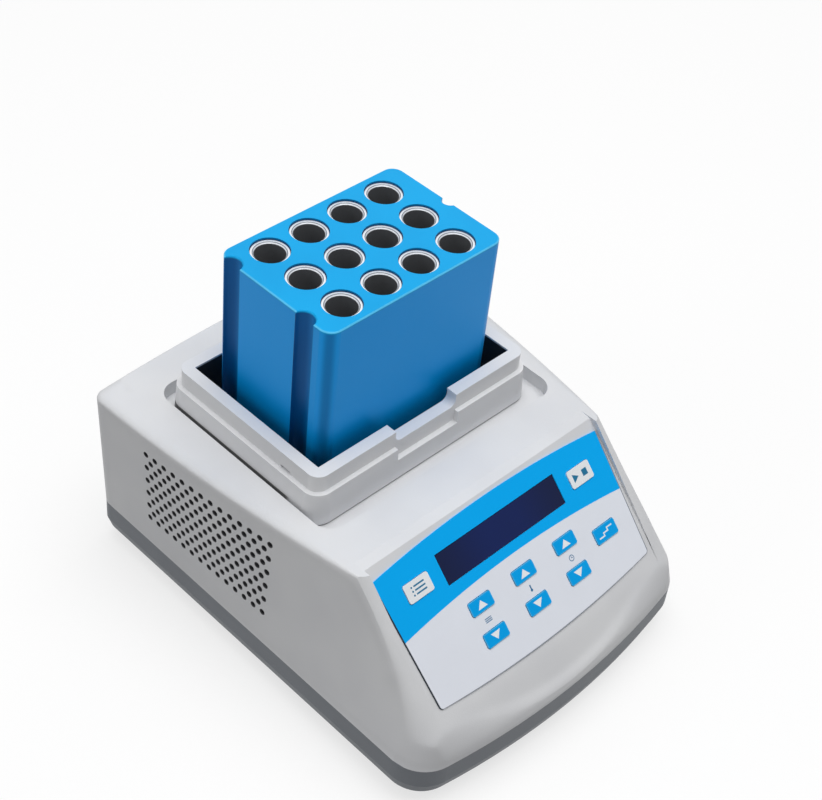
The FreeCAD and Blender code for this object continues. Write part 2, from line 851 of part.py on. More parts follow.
def tray_form(form, inset, subtract):
    """Loft the tray's form, with a round turn from its wall into its floor, moved in by an inset."""
    sections = []
    curve = s.tray_round - inset
    turn_level = s.foot_height + s.tray_round
    rim = form.sketch(lift=s.seam_height)
    seam_outline(rim, inset)
    for angle in ROUND_TURNS:
        section = form.sketch(lift=turn_level - curve * math.sin(math.radians(angle)))
        seam_outline(section, curve * (1 - math.cos(math.radians(angle))) + inset)
        sections.append(section)
    form.loft(rim, *sections, subtract=subtract)


tray = Moulding("tray_shell")
tray_form(tray, 0.0, False)
tray_form(tray, s.wall, True)
foot_spots = []
for side in (-1, 1):
    foot_spots.append((s.foot_side * side, -s.foot_front))
    foot_spots.append((s.foot_side * side, s.foot_back))
tray_bosses = []
screw_wells = []
screw_ways = []
case_screws = []
for index, (x, y) in enumerate(boss_spots):
    height = s.seam_height - s.foot_height
    tray_bosses.append(rod(f"tray_boss_{index}", s.boss_radius, height, x, y, s.foot_height))
    well_radius = s.screw_head_radius + s.screw_gap
    well_height = SPARE + s.screw_well_depth
    screw_wells.append(rod(f"screw_well_{index}", well_radius, well_height, x, y, s.foot_height - SPARE))
    screw_ways.append(rod(f"screw_way_{index}", s.screw_radius + s.screw_gap, SPARE, x, y, screw_seat))
    shank = rod(f"case_shank_{index}", s.screw_radius, s.screw_length, x, y, screw_seat)
    head_level = screw_seat - s.screw_head_height
    head = post(f"case_head_{index}", s.screw_head_radius, s.screw_head_height, x, y, head_level)
    case_screws.append(joined(f"case_screw_{index}", shank, head))
feet = []
for index, (x, y) in enumerate(foot_spots):
    pad = rod(f"foot_pad_{index}", s.foot_radius, s.foot_height - s.foot_bevel, x, y, s.foot_bevel)
    bevel = doc.addObject("Part::Cone", f"foot_bevel_{index}")
    bind(bevel, "Radius1", s.foot_radius - s.foot_bevel)
    bind(bevel, "Radius2", s.foot_radius)
    bind(bevel, "Height", s.foot_bevel)
    place(bevel, x, y, 0.0)
    feet.append(joined(f"foot_{index}", pad, bevel))
tray_outside = Moulding("tray_outside")
tray_form(tray_outside, 0.0, False)
tray_boss_group = shared("tray_boss_group", gathered("tray_boss_rods", tray_bosses), tray_outside.body)
tray_solid = joined("tray_with_bosses", tray.body, tray_boss_group)
tray_solid = cut("tray_screw_wells", tray_solid, *screw_wells)
keep("lower_housing", cut("lower_housing", tray_solid, *screw_ways))
keep("rubber_feet", gathered("rubber_feet", feet))
keep("case_screws", gathered("case_screws", case_screws))

# Well collar.
collar = Moulding("collar_frame")
place(collar.body, 0.0, s.well_middle, 0.0)
low = collar.sketch(lift=moat_floor + s.shadow_height)
rounded(low, s.opening_width + base_outer, s.opening_depth + base_outer, s.collar_round + s.collar_draft)
high = collar.sketch(lift=ledge_top)
rounded(high, s.opening_width + ledge_outer, s.opening_depth + ledge_outer, s.collar_round)
collar.loft(low, high)
plinth_outer = base_outer - s.shadow_depth * 2
plinth_sizes = (s.opening_width + plinth_outer, s.opening_depth + plinth_outer, s.collar_round)
collar.slab(moat_floor, moat_floor + s.shadow_height, rounded, *plinth_sizes)
upper_round = s.collar_round - s.ledge_width
rim_sizes = (s.opening_width + rim_outer, s.opening_depth + rim_outer)
collar.slab(ledge_top, rim_top, rounded, *rim_sizes, upper_round)
skirt_base = moat_floor - s.skirt_depth
collar.slab(skirt_base, moat_floor, rectangle, s.opening_width + skirt_outer, s.opening_depth + skirt_outer)
mouth = collar.sketch(lift=rim_top)
rectangle(mouth, s.opening_width, s.opening_depth)
collar.pocket(mouth, rim_top - skirt_base)
front_face = (s.opening_depth + base_outer) / 2
notch = collar.sketch("XZ_Plane", lift=front_face + SPARE)
notch_level = rim_top - s.notch_drop
notch_half = s.notch_width / 2
outline(notch, [
    (-notch_half, notch_level + s.notch_round, s.notch_round), (-notch_half + s.notch_round, notch_level),
    (notch_half - s.notch_round, notch_level, s.notch_round), (notch_half, notch_level + s.notch_round),
    (notch_half, rim_top + SPARE), (-notch_half, rim_top + SPARE),
])
collar.pocket(notch, SPARE * 2)
ledge_drop = collar.sketch(lift=ledge_top)
rim_face = (s.opening_depth + rim_outer) / 2
rectangle(ledge_drop, s.notch_width, SPARE, 0.0, -rim_face - SPARE / 2)
collar.pocket(ledge_drop, s.notch_drop)
catches = collar.sketch(lift=ledge_top + s.catch_height)
catch_x = (s.opening_width + rim_outer) / 2 - s.catch_depth + s.ledge_width / 2
for side in (-1, 1):
    rectangle(catches, s.ledge_width, s.catch_length, catch_x * side, -s.catch_setback)
collar.pocket(catches, s.catch_height)
collar_pilots = []
collar_screws = []
for index, (x, y) in enumerate(collar_screw_spots):
    under = moat_floor - s.wall
    pilot_sizes = (s.screw_radius + s.pilot_gap, s.screw_length / 2 + s.pilot_gap)
    collar_pilots.append(rod(f"collar_pilot_{index}", *pilot_sizes, x, y, under))
    shank = rod(f"collar_shank_{index}", s.screw_radius, s.screw_length / 2, x, y, under)
    head_level = under - s.screw_head_height
    head = post(f"collar_head_{index}", s.screw_head_radius, s.screw_head_height, x, y, head_level)
    collar_screws.append(joined(f"collar_screw_{index}", shank, head))
keep("well_collar", cut("well_collar", collar.body, *collar_pilots))
keep("collar_screws", gathered("collar_screws", collar_screws))

# Heating block.
block = Moulding("heating_block")
place(block.body, 0.0, s.well_middle, plate_top + s.block_gap)
block.slab(0.0, s.block_height, rounded, s.block_width, s.block_depth, s.block_round)
grooves = block.sketch(lift=s.block_height)
groove_x = s.block_width / 2 + s.groove_sink
ring(grooves, s.groove_radius, -groove_x, s.groove_back)
ring(grooves, s.groove_radius, -groove_x, -s.groove_front)
ring(grooves, s.key_groove_radius, groove_x, 0.0)
block.pocket(grooves, s.block_height)
block_top = float(s.block_height) - 0.01
block.dress("Chamfer", lambda edge: min(v.Z for v in edge.Vertexes) > block_top, "Size", s.block_edge)
tube_spots = []
for column in range(TUBE_COLUMNS):
    for row in range(TUBE_ROWS):
        x = s.tube_pitch * (column - (TUBE_COLUMNS - 1) / 2)
        tube_spots.append((x, s.tube_pitch * (row - (TUBE_ROWS - 1) / 2)))
mouths = block.sketch(lift=s.block_height)
for x, y in tube_spots:
    ring(mouths, s.tube_mouth / 2, x, y)
block.pocket(mouths, s.mouth_depth)
bores = block.sketch(lift=s.block_height)
for x, y in tube_spots:
    ring(bores, s.tube_bore / 2, x, y)
block.pocket(bores, s.tube_depth)
mouth_floor = float(s.block_height - s.mouth_depth)
bore_floor = float(s.block_height - s.tube_depth)
bore_radius = float(s.tube_bore) / 2


def bore_edge(level):
    """A test of whether an edge is the round edge of a bore at that level."""
    def test(edge):
        round_edge = hasattr(edge.Curve, "Radius") and abs(edge.Curve.Radius - bore_radius) < 0.01
        return round_edge and abs(edge.BoundBox.Center.z - level) < 0.01
    return test


block.dress("Chamfer", bore_edge(mouth_floor), "Size", s.mouth_cone)
block.dress("Chamfer", bore_edge(bore_floor), "Size", s.tube_end_cone)
keep("heating_block", block.body)

# Heating stage under the block.
liner = Moulding("well_liner")
place(liner.body, 0.0, s.well_middle, plate_base)
sleeve = liner.sketch()
rectangle(sleeve, s.opening_width + sleeve_outer, s.opening_depth + sleeve_outer)
rectangle(sleeve, s.opening_width, s.opening_depth)
liner.pad(sleeve, skirt_base - plate_base)
keep("well_liner", liner.body)
probe_x = -s.probe_offset
cutout_x = s.cutout_offset
plate_width = s.opening_width - s.fit_gap * 2
plate_depth = s.opening_depth - s.fit_gap * 2
plate = box("plate_blank", plate_width, plate_depth, s.plate_thickness, 0.0, s.well_middle, plate_base)
probe_seat = rod("probe_seat", s.probe_radius + s.fit_gap, s.probe_seat, probe_x, s.well_middle, plate_base)
keep("heater_plate", cut("heater_plate", plate, probe_seat))
element_base = plate_base - s.element_thickness
element_width = plate_width - s.element_border * 2
element_depth = plate_depth - s.element_border * 2
element = box(
    "element_blank", element_width, element_depth, s.element_thickness, 0.0, s.well_middle, element_base)


def stage_holes(name, spare):
    """Upright holes for the probe and the cut-out, wider than them by a spare on each side."""
    height = s.jacket_floor + s.shelf_thickness + SPARE
    level = plate_base - height
    probe_way = rod(f"{name}_probe_way", s.probe_radius + spare, height, probe_x, s.well_middle, level)
    cutout_way = rod(f"{name}_cutout_way", s.cutout_radius + spare, height, cutout_x, s.well_middle, level)
    return probe_way, cutout_way


keep("heating_element", cut("heating_element", element, *stage_holes("element", s.fit_gap)))
jacket_height = s.jacket_floor + s.jacket_rise
jacket = box("jacket_blank", jacket_width, jacket_depth, jacket_height, 0.0, s.well_middle, jacket_base)
nest_width = s.opening_width + sleeve_outer + s.fit_gap * 2
nest_depth = s.opening_depth + sleeve_outer + s.fit_gap * 2
nest = box("jacket_nest", nest_width, nest_depth, SPARE + s.jacket_rise, 0.0, s.well_middle, plate_base)
bed = box(
    "jacket_bed", element_width + s.fit_gap * 2, element_depth + s.fit_gap * 2,
    s.element_thickness + SPARE / 2, 0.0, s.well_middle, element_base)
jacket = cut("jacket_nested", jacket, nest)
jacket = cut("jacket_bedded", jacket, bed)
keep("insulation_jacket", cut("insulation_jacket", jacket, *stage_holes("jacket", s.fit_gap)))
shelf = box("shelf_blank", jacket_width, jacket_depth, s.shelf_thickness, 0.0, s.well_middle, shelf_base)
keep("stage_shelf", cut("stage_shelf", shelf, *stage_holes("shelf", s.fit_gap * 2)))
posts = []
for index, (side, end) in enumerate(corners):
    x = (jacket_width / 2 - s.post_inset) * side
    y = s.well_middle + (jacket_depth / 2 - s.post_inset) * end
    posts.append(post(f"post_{index}", s.post_radius, shelf_base - tray_floor, x, y, tray_floor))
keep("shelf_posts", gathered("shelf_posts", posts))
probe_base = plate_base + s.probe_seat - s.probe_length
probe = rod("temperature_probe", s.probe_radius, s.probe_length, probe_x, s.well_middle, probe_base)
keep("temperature_probe", probe)
cutout_base = plate_base - s.cutout_height
cutout = rod("thermal_cutout", s.cutout_radius, s.cutout_height, cutout_x, s.well_middle, cutout_base)
keep("thermal_cutout", cutout)

# Control panel.
label = on_panel("label_blank")
label_half = s.recess_half_width - s.label_margin
low_half = label_half - s.label_taper
label_sketch = label.sketch()
outline(label_sketch, [
    (-low_half, -s.label_low, bow_radius(low_half, s.label_low_rise)), (low_half, -s.label_low),
    (label_half, s.label_top, bow_radius(label_half, s.label_top_rise)), (-label_half, s.label_top),
])
label.pad(label_sketch, s.label_thickness)


def low_corner(edge):
    """Whether an edge is one of the label's two lower corners."""
    start, finish = edge.Vertexes
    return abs(finish.Z - start.Z) > 0.1 and start.Y < 0


label.dress("Fillet", low_corner, "Radius", s.label_corner)
keep("panel_label", cut("panel_label", label.body, label_holes.body))

window = on_panel("display_window")
window_face = s.label_thickness - s.window_sink
flange_width = s.window_width + s.window_flange * 2
flange_height = s.window_height + s.window_flange * 2
flange_base = -s.wall - s.window_flange_thickness
window.slab(flange_base, -s.wall, rectangle, flange_width, flange_height, 0.0, s.window_up)
window.slab(-s.wall, window_face, rectangle, s.window_width, s.window_height, 0.0, s.window_up)
keep("display_window", window.body)

lcd = on_panel("display_module")
lcd_base = flange_base - s.lcd_thickness
lcd.slab(lcd_base, flange_base, rectangle, s.lcd_width, s.lcd_height, 0.0, s.window_up)
lcd_sizes = (s.lcd_board_width, s.lcd_board_height, 0.0, s.window_up)
lcd.slab(lcd_base - s.board_thickness, lcd_base, rectangle, *lcd_sizes)
keep("display_module", lcd.body)

flange_top = -s.wall - s.key_gap
key_base = flange_top - s.key_flange_thickness
key_face = s.label_thickness + s.key_rise
for name, (across, up, width, height) in KEYS.items():
    key = on_panel(name)
    key.slab(key_base, flange_top, rectangle, width + s.key_flange * 2, height + s.key_flange * 2, across, up)
    key.slab(flange_top, key_face, rounded, width, height, s.key_round, across, up)
    keep(name, key.body)

board = on_panel("control_board")
board_top = -s.board_depth
board_base = board_top - s.board_thickness
board.slab(board_base, board_top, rectangle, s.board_width, s.board_height, 0.0, s.board_up)
keep("control_board", board.body)
board_corners = []
for side, end in corners:
    x = (s.board_width / 2 - s.standoff_inset) * side
    board_corners.append((x, s.board_up + (s.board_height / 2 - s.standoff_inset) * end))
pillars = on_panel("board_pillars")
pillars.slab(board_top, -s.wall, hexagons, s.standoff_radius, board_corners)
keep("board_pillars", pillars.body)

switches = on_panel("key_switches")
switch_top = board_top + s.switch_body
plunger_top = key_base - s.key_travel - s.key_gap
key_spots = [(across, up) for across, up, _, _ in KEYS.values()]
switches.slab(board_top, switch_top, squares, s.switch_side, key_spots)
switches.slab(switch_top, plunger_top, squares, s.plunger_side, key_spots)
keep("key_switches", switches.body)

# Back panel.
inlet_face = s.back_panel_plane + s.inlet_flange
inlet_flange = box(
    "inlet_flange", s.inlet_width, s.inlet_flange, s.inlet_height,
    s.inlet_side, s.back_panel_plane + s.inlet_flange / 2, s.back_panel_level - s.inlet_height / 2)
inlet_body = box(
    "inlet_body", inlet_body_width, s.inlet_body_depth, inlet_body_height,
    s.inlet_side, s.back_panel_plane - s.inlet_body_depth / 2, s.back_panel_level - inlet_body_height / 2)
socket = Moulding("inlet_socket")
place(socket.body, s.inlet_side, inlet_face, s.back_panel_level - s.socket_drop)
socket_sketch = socket.sketch("XZ_Plane", lift=-SPARE)
socket_half = s.socket_width / 2
socket_top = s.socket_height / 2
outline(socket_sketch, [
    (-socket_half, -socket_top), (socket_half, -socket_top), (socket_half, socket_top - s.socket_corner),
    (socket_half - s.socket_corner, socket_top), (-socket_half + s.socket_corner, socket_top),
    (-socket_half, socket_top - s.socket_corner),
])
socket.pad(socket_sketch, s.socket_depth + SPARE)
drawer_level = s.back_panel_level + s.drawer_up - s.drawer_height / 2
drawer_end = inlet_face - s.drawer_depth
slot_depth = s.drawer_depth + s.fit_gap + SPARE
drawer_slot = box(
    "drawer_slot", s.drawer_width + s.fit_gap * 2, slot_depth, s.drawer_height + s.fit_gap * 2,
    s.inlet_side, drawer_end - s.fit_gap + slot_depth / 2, drawer_level - s.fit_gap)
inlet = joined("inlet_blank", inlet_flange, inlet_body)
inlet = cut("inlet_socketed", inlet, socket.body)
inlet = cut("inlet_slotted", inlet, drawer_slot)
blades = []
for index, (across, up) in enumerate(((-1, 0), (0, 1), (1, 0))):
    blades.append(box(
        f"blade_{index}", s.blade_width, s.blade_length, s.blade_height,
        s.inlet_side + s.blade_spread * across, inlet_face - s.socket_depth + s.blade_length / 2,
        s.back_panel_level - s.socket_drop - s.blade_height / 2 + s.blade_width * up))
keep("power_inlet", joined("power_inlet", inlet, *blades))
drawer_body = box(
    "drawer_body", s.drawer_width, s.drawer_depth + s.fit_gap, s.drawer_height,
    s.inlet_side, drawer_end + (s.drawer_depth + s.fit_gap) / 2, drawer_level)
drawer_cap = box(
    "drawer_cap", s.drawer_width + s.drawer_lip * 2, s.drawer_lip, s.drawer_height + s.drawer_lip,
    s.inlet_side, inlet_face + s.fit_gap + s.drawer_lip / 2, drawer_level - s.drawer_lip / 2)
keep("fuse_drawer", joined("fuse_drawer", drawer_body, drawer_cap))

frame_face = s.back_panel_plane + s.rocker_frame_lip
frame_lip = box(
    "frame_lip", s.rocker_frame_width, s.rocker_frame_lip, s.rocker_frame_height, s.rocker_side,
    s.back_panel_plane + s.rocker_frame_lip / 2, s.back_panel_level - s.rocker_frame_height / 2)
frame_body = box(
    "frame_body", frame_body_width, s.rocker_body_depth, frame_body_height,
    s.rocker_side, s.back_panel_plane - s.rocker_body_depth / 2, s.back_panel_level - frame_body_height / 2)
rocker_space_depth = s.rocker_pivot + s.rocker_heel * 2 + SPARE
rocker_space = box(
    "rocker_space", s.rocker_width + s.fit_gap * 2, rocker_space_depth, s.rocker_height + s.fit_gap * 2,
    s.rocker_side, frame_face - s.rocker_pivot - s.rocker_heel * 2 + rocker_space_depth / 2,
    s.back_panel_level - s.rocker_height / 2 - s.fit_gap)
pivot_y = frame_face - s.rocker_pivot
pin_hole = rod(
    "rocker_pin_hole", s.rocker_pin_radius + s.fit_gap, frame_body_width,
    s.rocker_side - frame_body_width / 2, pivot_y, s.back_panel_level, (1, 0, 0))
switch_frame = joined("switch_frame_blank", frame_lip, frame_body)
keep("power_switch_frame", cut("power_switch_frame", switch_frame, rocker_space, pin_hole))
rocker = Moulding("power_rocker")
place(rocker.body, s.rocker_side, pivot_y, s.back_panel_level, -s.rocker_throw / 2)
rocker_sketch = rocker.sketch("YZ_Plane", lift=-s.rocker_width / 2)
rocker_half = s.rocker_height / 2
rocker_end = s.rocker_crown + s.rocker_dish
outline(rocker_sketch, [
    (-s.rocker_heel, -s.rocker_heel_half), (rocker_end, -rocker_half), (s.rocker_crown, 0.0),
    (rocker_end, rocker_half), (-s.rocker_heel, s.rocker_heel_half),
])
rocker.pad(rocker_sketch, s.rocker_width)
pins = rocker.sketch("YZ_Plane", lift=-s.rocker_width / 2 - s.rocker_pin_reach)
ring(pins, s.rocker_pin_radius, 0.0, 0.0)
rocker.pad(pins, s.rocker_width + s.rocker_pin_reach * 2)
keep("power_rocker", rocker.body)

# Power electronics on the tray floor.
power_board = box(
    "power_board", s.power_board_width, s.power_board_depth, s.board_thickness,
    0.0, s.well_middle, power_board_base)
keep("power_board", power_board)
power_pillars = []
for index, (side, end) in enumerate(corners):
    x = (s.power_board_width / 2 - s.pillar_inset) * side
    y = s.well_middle + (s.power_board_depth / 2 - s.pillar_inset) * end
    power_pillars.append(post(f"power_pillar_{index}", s.pillar_radius, s.power_board_rise, x, y, tray_floor))
keep("power_board_pillars", gathered("power_board_pillars", power_pillars))
keep("transformer", box(
    "transformer", s.transformer_width, s.transformer_depth, s.transformer_height,
    s.transformer_side, s.well_middle, power_board_top))
sink_block = box(
    "sink_block", s.sink_width, s.sink_depth, s.sink_height, -s.sink_side, s.well_middle, power_board_top)
fin_gaps = []
gap_count = FIN_COUNT - 1
gap_width = (s.sink_width - s.fin_thickness * FIN_COUNT) / gap_count
for index in range(gap_count):
    x = -s.sink_side + (gap_width + s.fin_thickness) * (index - (gap_count - 1) / 2)
    fin_gaps.append(box(
        f"fin_gap_{index}", gap_width, s.sink_depth + SPARE, s.sink_height, x, s.well_middle,
        power_board_top + s.sink_base))
keep("heat_sink", cut("heat_sink", sink_block, *fin_gaps))

doc.recompute()
for thing in doc.Objects:
    troubled = "Invalid" in thing.State or "Error" in thing.State
    if troubled:
        raise RuntimeError(f"{thing.Name} did not build: {thing.State}")
os.makedirs("parts", exist_ok=True)
for label, thing in nodes.items():
    shape = thing.Shape
    if shape.isNull() or not shape.isValid() or not shape.Solids:
        raise RuntimeError(f"{label} is not a sound solid")
    shape.exportStep(f"parts/{label}.step")
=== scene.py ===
"""Looks of a dry block heater: its finishes, its printed panel, the studio and the camera.

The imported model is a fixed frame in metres. Finishes read Object coordinates, turned to millimetres, so that
prints and zones sit where the solids are. All sizes are in millimetres, apart from the studio's, in metres.
"""

import logging
import math
from dataclasses import dataclass, field
from enum import Enum
from functools import reduce
from operator import or_
from typing import Optional, Union

import bpy
import numpy as np
from mathutils import Matrix, Vector


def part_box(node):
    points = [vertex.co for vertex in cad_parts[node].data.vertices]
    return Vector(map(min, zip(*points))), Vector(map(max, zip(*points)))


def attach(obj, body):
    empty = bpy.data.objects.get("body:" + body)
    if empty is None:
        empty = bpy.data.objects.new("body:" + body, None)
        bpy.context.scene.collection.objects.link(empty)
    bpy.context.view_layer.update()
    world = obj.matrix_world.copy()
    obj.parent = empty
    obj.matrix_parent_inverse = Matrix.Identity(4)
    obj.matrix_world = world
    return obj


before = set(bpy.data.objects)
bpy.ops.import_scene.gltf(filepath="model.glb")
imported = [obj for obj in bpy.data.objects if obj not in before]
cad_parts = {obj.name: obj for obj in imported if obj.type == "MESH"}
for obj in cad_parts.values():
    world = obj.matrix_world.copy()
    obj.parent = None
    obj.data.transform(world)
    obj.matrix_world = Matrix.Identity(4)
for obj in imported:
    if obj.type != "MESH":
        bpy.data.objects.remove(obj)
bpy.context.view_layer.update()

LOG = logging.getLogger("dry_block_heater")
MILLIMETRE = 0.001
PRINT_EDGE = 0.12
ROLL_SAMPLES = 10
SHARP_ANGLE = math.radians(40.0)
BLACKOUT = (0.0, 0.0, 0.0)
WHITE_LIGHT = (1.0, 1.0, 1.0)

Colour = tuple[float, float, float]
Number = Union[float, "Wire"]
Tint = Union[Colour, "Wire"]


def screen(red: int, green: int, blue: int) -> Colour:
    """Turn a colour as a screen shows it, from 0 to 255, into the light that a shader works with.

    The screen's curve is a straight line near black and a power of 2.4 above that.

    Args:
        red: Red, from 0 to 255.
        green: Green, from 0 to 255.
        blue: Blue, from 0 to 255.

    Returns:
        The colour as linear red, green and blue.
    """
    parts = np.array((red, green, blue)) / 255.0
    light = np.where(parts <= 0.04045, parts / 12.92, ((parts + 0.055) / 1.055) ** 2.4)
    return tuple(float(part) for part in light)


class Wire:
    """One value of a shader graph, on which arithmetic adds Math nodes."""

    def __init__(self, graph: "Graph", socket: bpy.types.NodeSocket) -> None:
        """Hold an output socket of a graph."""
        self.graph = graph
        self.socket = socket

    def __add__(self, other: Number) -> "Wire":
        """Add another value."""
        return self.graph.maths("ADD", self, other)

    def __radd__(self, other: Number) -> "Wire":
        """Add this value to a number."""
        return self.graph.maths("ADD", other, self)

    def __sub__(self, other: Number) -> "Wire":
        """Take another value away."""
        return self.graph.maths("SUBTRACT", self, other)

    def __rsub__(self, other: Number) -> "Wire":
        """Take this value away from a number."""
        return self.graph.maths("SUBTRACT", other, self)

    def __mul__(self, other: Number) -> "Wire":
        """Multiply by another value."""
        return self.graph.maths("MULTIPLY", self, other)

    def __rmul__(self, other: Number) -> "Wire":
        """Multiply a number by this value."""
        return self.graph.maths("MULTIPLY", other, self)

    def __truediv__(self, other: Number) -> "Wire":
        """Divide by another value."""
        return self.graph.maths("DIVIDE", self, other)

    def __rtruediv__(self, other: Number) -> "Wire":
        """Divide a number by this value."""
        return self.graph.maths("DIVIDE", other, self)

    def __or__(self, other: Number) -> "Wire":
        """The larger of two values."""
        return self.graph.maths("MAXIMUM", self, other)

    def __ror__(self, other: Number) -> "Wire":
        """The larger of a number and this value."""
        return self.graph.maths("MAXIMUM", other, self)

    def __and__(self, other: Number) -> "Wire":
        """The smaller of two values."""
        return self.graph.maths("MINIMUM", self, other)

    def __rand__(self, other: Number) -> "Wire":
        """The smaller of a number and this value."""
        return self.graph.maths("MINIMUM", other, self)

    def __neg__(self) -> "Wire":
        """Turn the sign round."""
        return self.graph.maths("MULTIPLY", self, -1.0)

    def __abs__(self) -> "Wire":
        """Drop the sign."""
        return self.graph.maths("ABSOLUTE", self)

    def root(self) -> "Wire":
        """The square root."""
        return self.graph.maths("SQRT", self)

    def fraction(self) -> "Wire":
        """The part after the decimal point."""
        return self.graph.maths("FRACT", self)

    def rise(self, low: float, high: float) -> "Wire":
        """Go smoothly from 0 at one value to 1 at another, which may be the smaller one.

        Args:
            low: Where the result is 0.
            high: Where the result is 1.

        Returns:
            The smooth step.
        """
        settings = {"interpolation_type": "SMOOTHSTEP"}
        if low < high:
            inputs = {"Value": self, "From Min": low, "From Max": high}
        else:
            inputs = {"Value": -self, "From Min": -low, "From Max": -high}
        return self.graph.value("ShaderNodeMapRange", "Result", settings, inputs)


class Graph:
    """The node graph of one material, or of the room's light."""

    def __init__(self, holder: Union[bpy.types.Material, bpy.types.World]) -> None:
        """Start with an empty graph.

        Args:
            holder: The material or the world that the graph belongs to.
        """
        holder.use_nodes = True
        self.holder = holder
        self.tree = holder.node_tree
        self.tree.nodes.clear()

    @classmethod
    def paint(cls, name: str) -> "Graph":
        """Start a new material of that name."""
        return cls(bpy.data.materials.new(name))

    def node(self, kind: str, settings: Optional[dict] = None,
             inputs: Optional[dict] = None) -> bpy.types.Node:
        """Add a node, set it up and feed its sockets.

        Args:
            kind: The node's type.
            settings: Properties of the node, set before its sockets are read.
            inputs: Numbers, colours or wires by socket name or index.

        Returns:
            The node.
        """
        made = self.tree.nodes.new(kind)
        for name, setting in (settings or {}).items():
            setattr(made, name, setting)
        for name, given in (inputs or {}).items():
            socket = made.inputs[name]
            if isinstance(given, Wire):
                self.tree.links.new(given.socket, socket)
            elif isinstance(given, tuple) and len(given) == 3 and socket.type == "RGBA":
                socket.default_value = (*given, 1.0)
            else:
                socket.default_value = given
        return made

    def value(self, kind: str, output: Union[str, int], settings: Optional[dict] = None,
              inputs: Optional[dict] = None) -> Wire:
        """Add a node and take one of its outputs.

        Args:
            kind: The node's type.
            output: The output's name or index.
            settings: Properties of the node.
            inputs: Numbers, colours or wires by socket.

        Returns:
            The output as a wire.
        """
        return Wire(self, self.node(kind, settings, inputs).outputs[output])

    def maths(self, operation: str, *operands: Number) -> Wire:
        """Work out one Math node's result."""
        return self.value("ShaderNodeMath", 0, {"operation": operation}, dict(enumerate(operands)))

    def place(self) -> tuple[Wire, Wire, Wire]:
        """The point on the piece, in millimetres of the shared frame.

        Returns:
            The distances across, along and up.
        """
        point = self.value("ShaderNodeTexCoord", "Object")
        parts = self.node("ShaderNodeSeparateXYZ", None, {"Vector": point})
        return tuple(Wire(self, parts.outputs[axis]) / MILLIMETRE for axis in "XYZ")

    def mixed(self, share: Number, first: Tint, second: Tint) -> Wire:
        """Blend two colours.

        Args:
            share: How much of the second colour shows.
            first: The colour at 0.
            second: The colour at 1.

        Returns:
            The blended colour.
        """
        inputs = {0: share, 6: first, 7: second}
        return self.value("ShaderNodeMix", 2, {"data_type": "RGBA"}, inputs)

    def noise(self, size: float, detail: float = 2.0) -> Wire:
        """Cloudy noise about one half.

        Args:
            size: How wide the clouds are, in millimetres.
            detail: How many finer layers they have.

        Returns:
            The noise, from 0 to 1.
        """
        point = self.value("ShaderNodeTexCoord", "Object")
        inputs = {"Vector": point, "Scale": 1.0 / (size * MILLIMETRE), "Detail": detail}
        return self.value("ShaderNodeTexNoise", 0, None, inputs)

    def rough(self, middle: float, spread: float, size: float) -> Wire:
        """A roughness that varies by a spread about its middle, in clouds of that size."""
        return middle + (self.noise(size) - 0.5) * spread

    def bump(self, height: Wire, depth: float, normal: Optional[Wire] = None) -> Wire:
        """Turn a height into a surface normal.

        Args:
            height: The height, from 0 to 1.
            depth: How deep a height of 1 is, in millimetres.
            normal: The normal that the bumps stand on, if not the surface's own.

        Returns:
            The normal.
        """
        inputs = {"Height": height, "Distance": depth * MILLIMETRE}
        if normal is not None:
            inputs["Normal"] = normal
        return self.value("ShaderNodeBump", 0, None, inputs)

    def rolled_edges(self, radius: float, share: Wire) -> Wire:
        """A normal that rolls round sharp edges.

        Args:
            radius: The roll's radius, in millimetres.
            share: Where the roll shows.

        Returns:
            The normal.
        """
        inputs = {"Radius": radius * MILLIMETRE}
        rolled = self.value("ShaderNodeBevel", 0, {"samples": ROLL_SAMPLES}, inputs)
        plain = self.value("ShaderNodeNewGeometry", "Normal")
        return self.value("ShaderNodeMix", 1, {"data_type": "VECTOR"}, {0: share, 4: plain, 5: rolled})

    def surface(self, **sockets: Union[Number, Colour]) -> bpy.types.Material:
        """Close the graph with a principled surface.

        Args:
            **sockets: The surface's values, with underscores for the spaces in the sockets' names.

        Returns:
            The finished material.
        """
        inputs = {name.replace("_", " "): given for name, given in sockets.items()}
        shade = self.value("ShaderNodeBsdfPrincipled", 0, None, inputs)
        self.node("ShaderNodeOutputMaterial", None, {"Surface": shade})
        return self.holder

    def seen(self) -> Wire:
        """Tell the rays that show the white backdrop: those of the camera, of gloss and of glass.

        Returns:
            1 for such a ray and 0 for another.
        """
        path = self.node("ShaderNodeLightPath")
        kinds = ("Camera", "Glossy", "Transmission")
        return reduce(or_, (Wire(self, path.outputs[f"Is {kind} Ray"]) for kind in kinds))


def bar(u: Wire, v: Wire, half_width: float, half_height: float, soft: float = PRINT_EDGE) -> Wire:
    """A mask of a rectangle about the middle: 1 inside, 0 outside, with a soft edge."""
    across = abs(u).rise(half_width + soft, half_width - soft)
    return across & abs(v).rise(half_height + soft, half_height - soft)


def disc(u: Wire, v: Wire, radius: float, soft: float = PRINT_EDGE) -> Wire:
    """A mask of a round spot about the middle."""
    return (u * u + v * v).root().rise(radius + soft, radius - soft)


def wedge(u: Wire, v: Wire, half_base: float, half_height: float, soft: float = PRINT_EDGE) -> Wire:
    """A mask of a triangle about the middle, with its point upwards."""
    narrowing = (half_height - v) * (half_base / (2.0 * half_height))
    return (narrowing - abs(u)).rise(-soft, soft) & (v + half_height).rise(-soft, soft)


class Shape(Enum):
    """The shapes that the printed signs are put together from."""

    BAR = "bar"
    SPOT = "spot"
    RING = "ring"
    UPWARD = "upward"
    DOWNWARD = "downward"
    RIGHTWARD = "rightward"


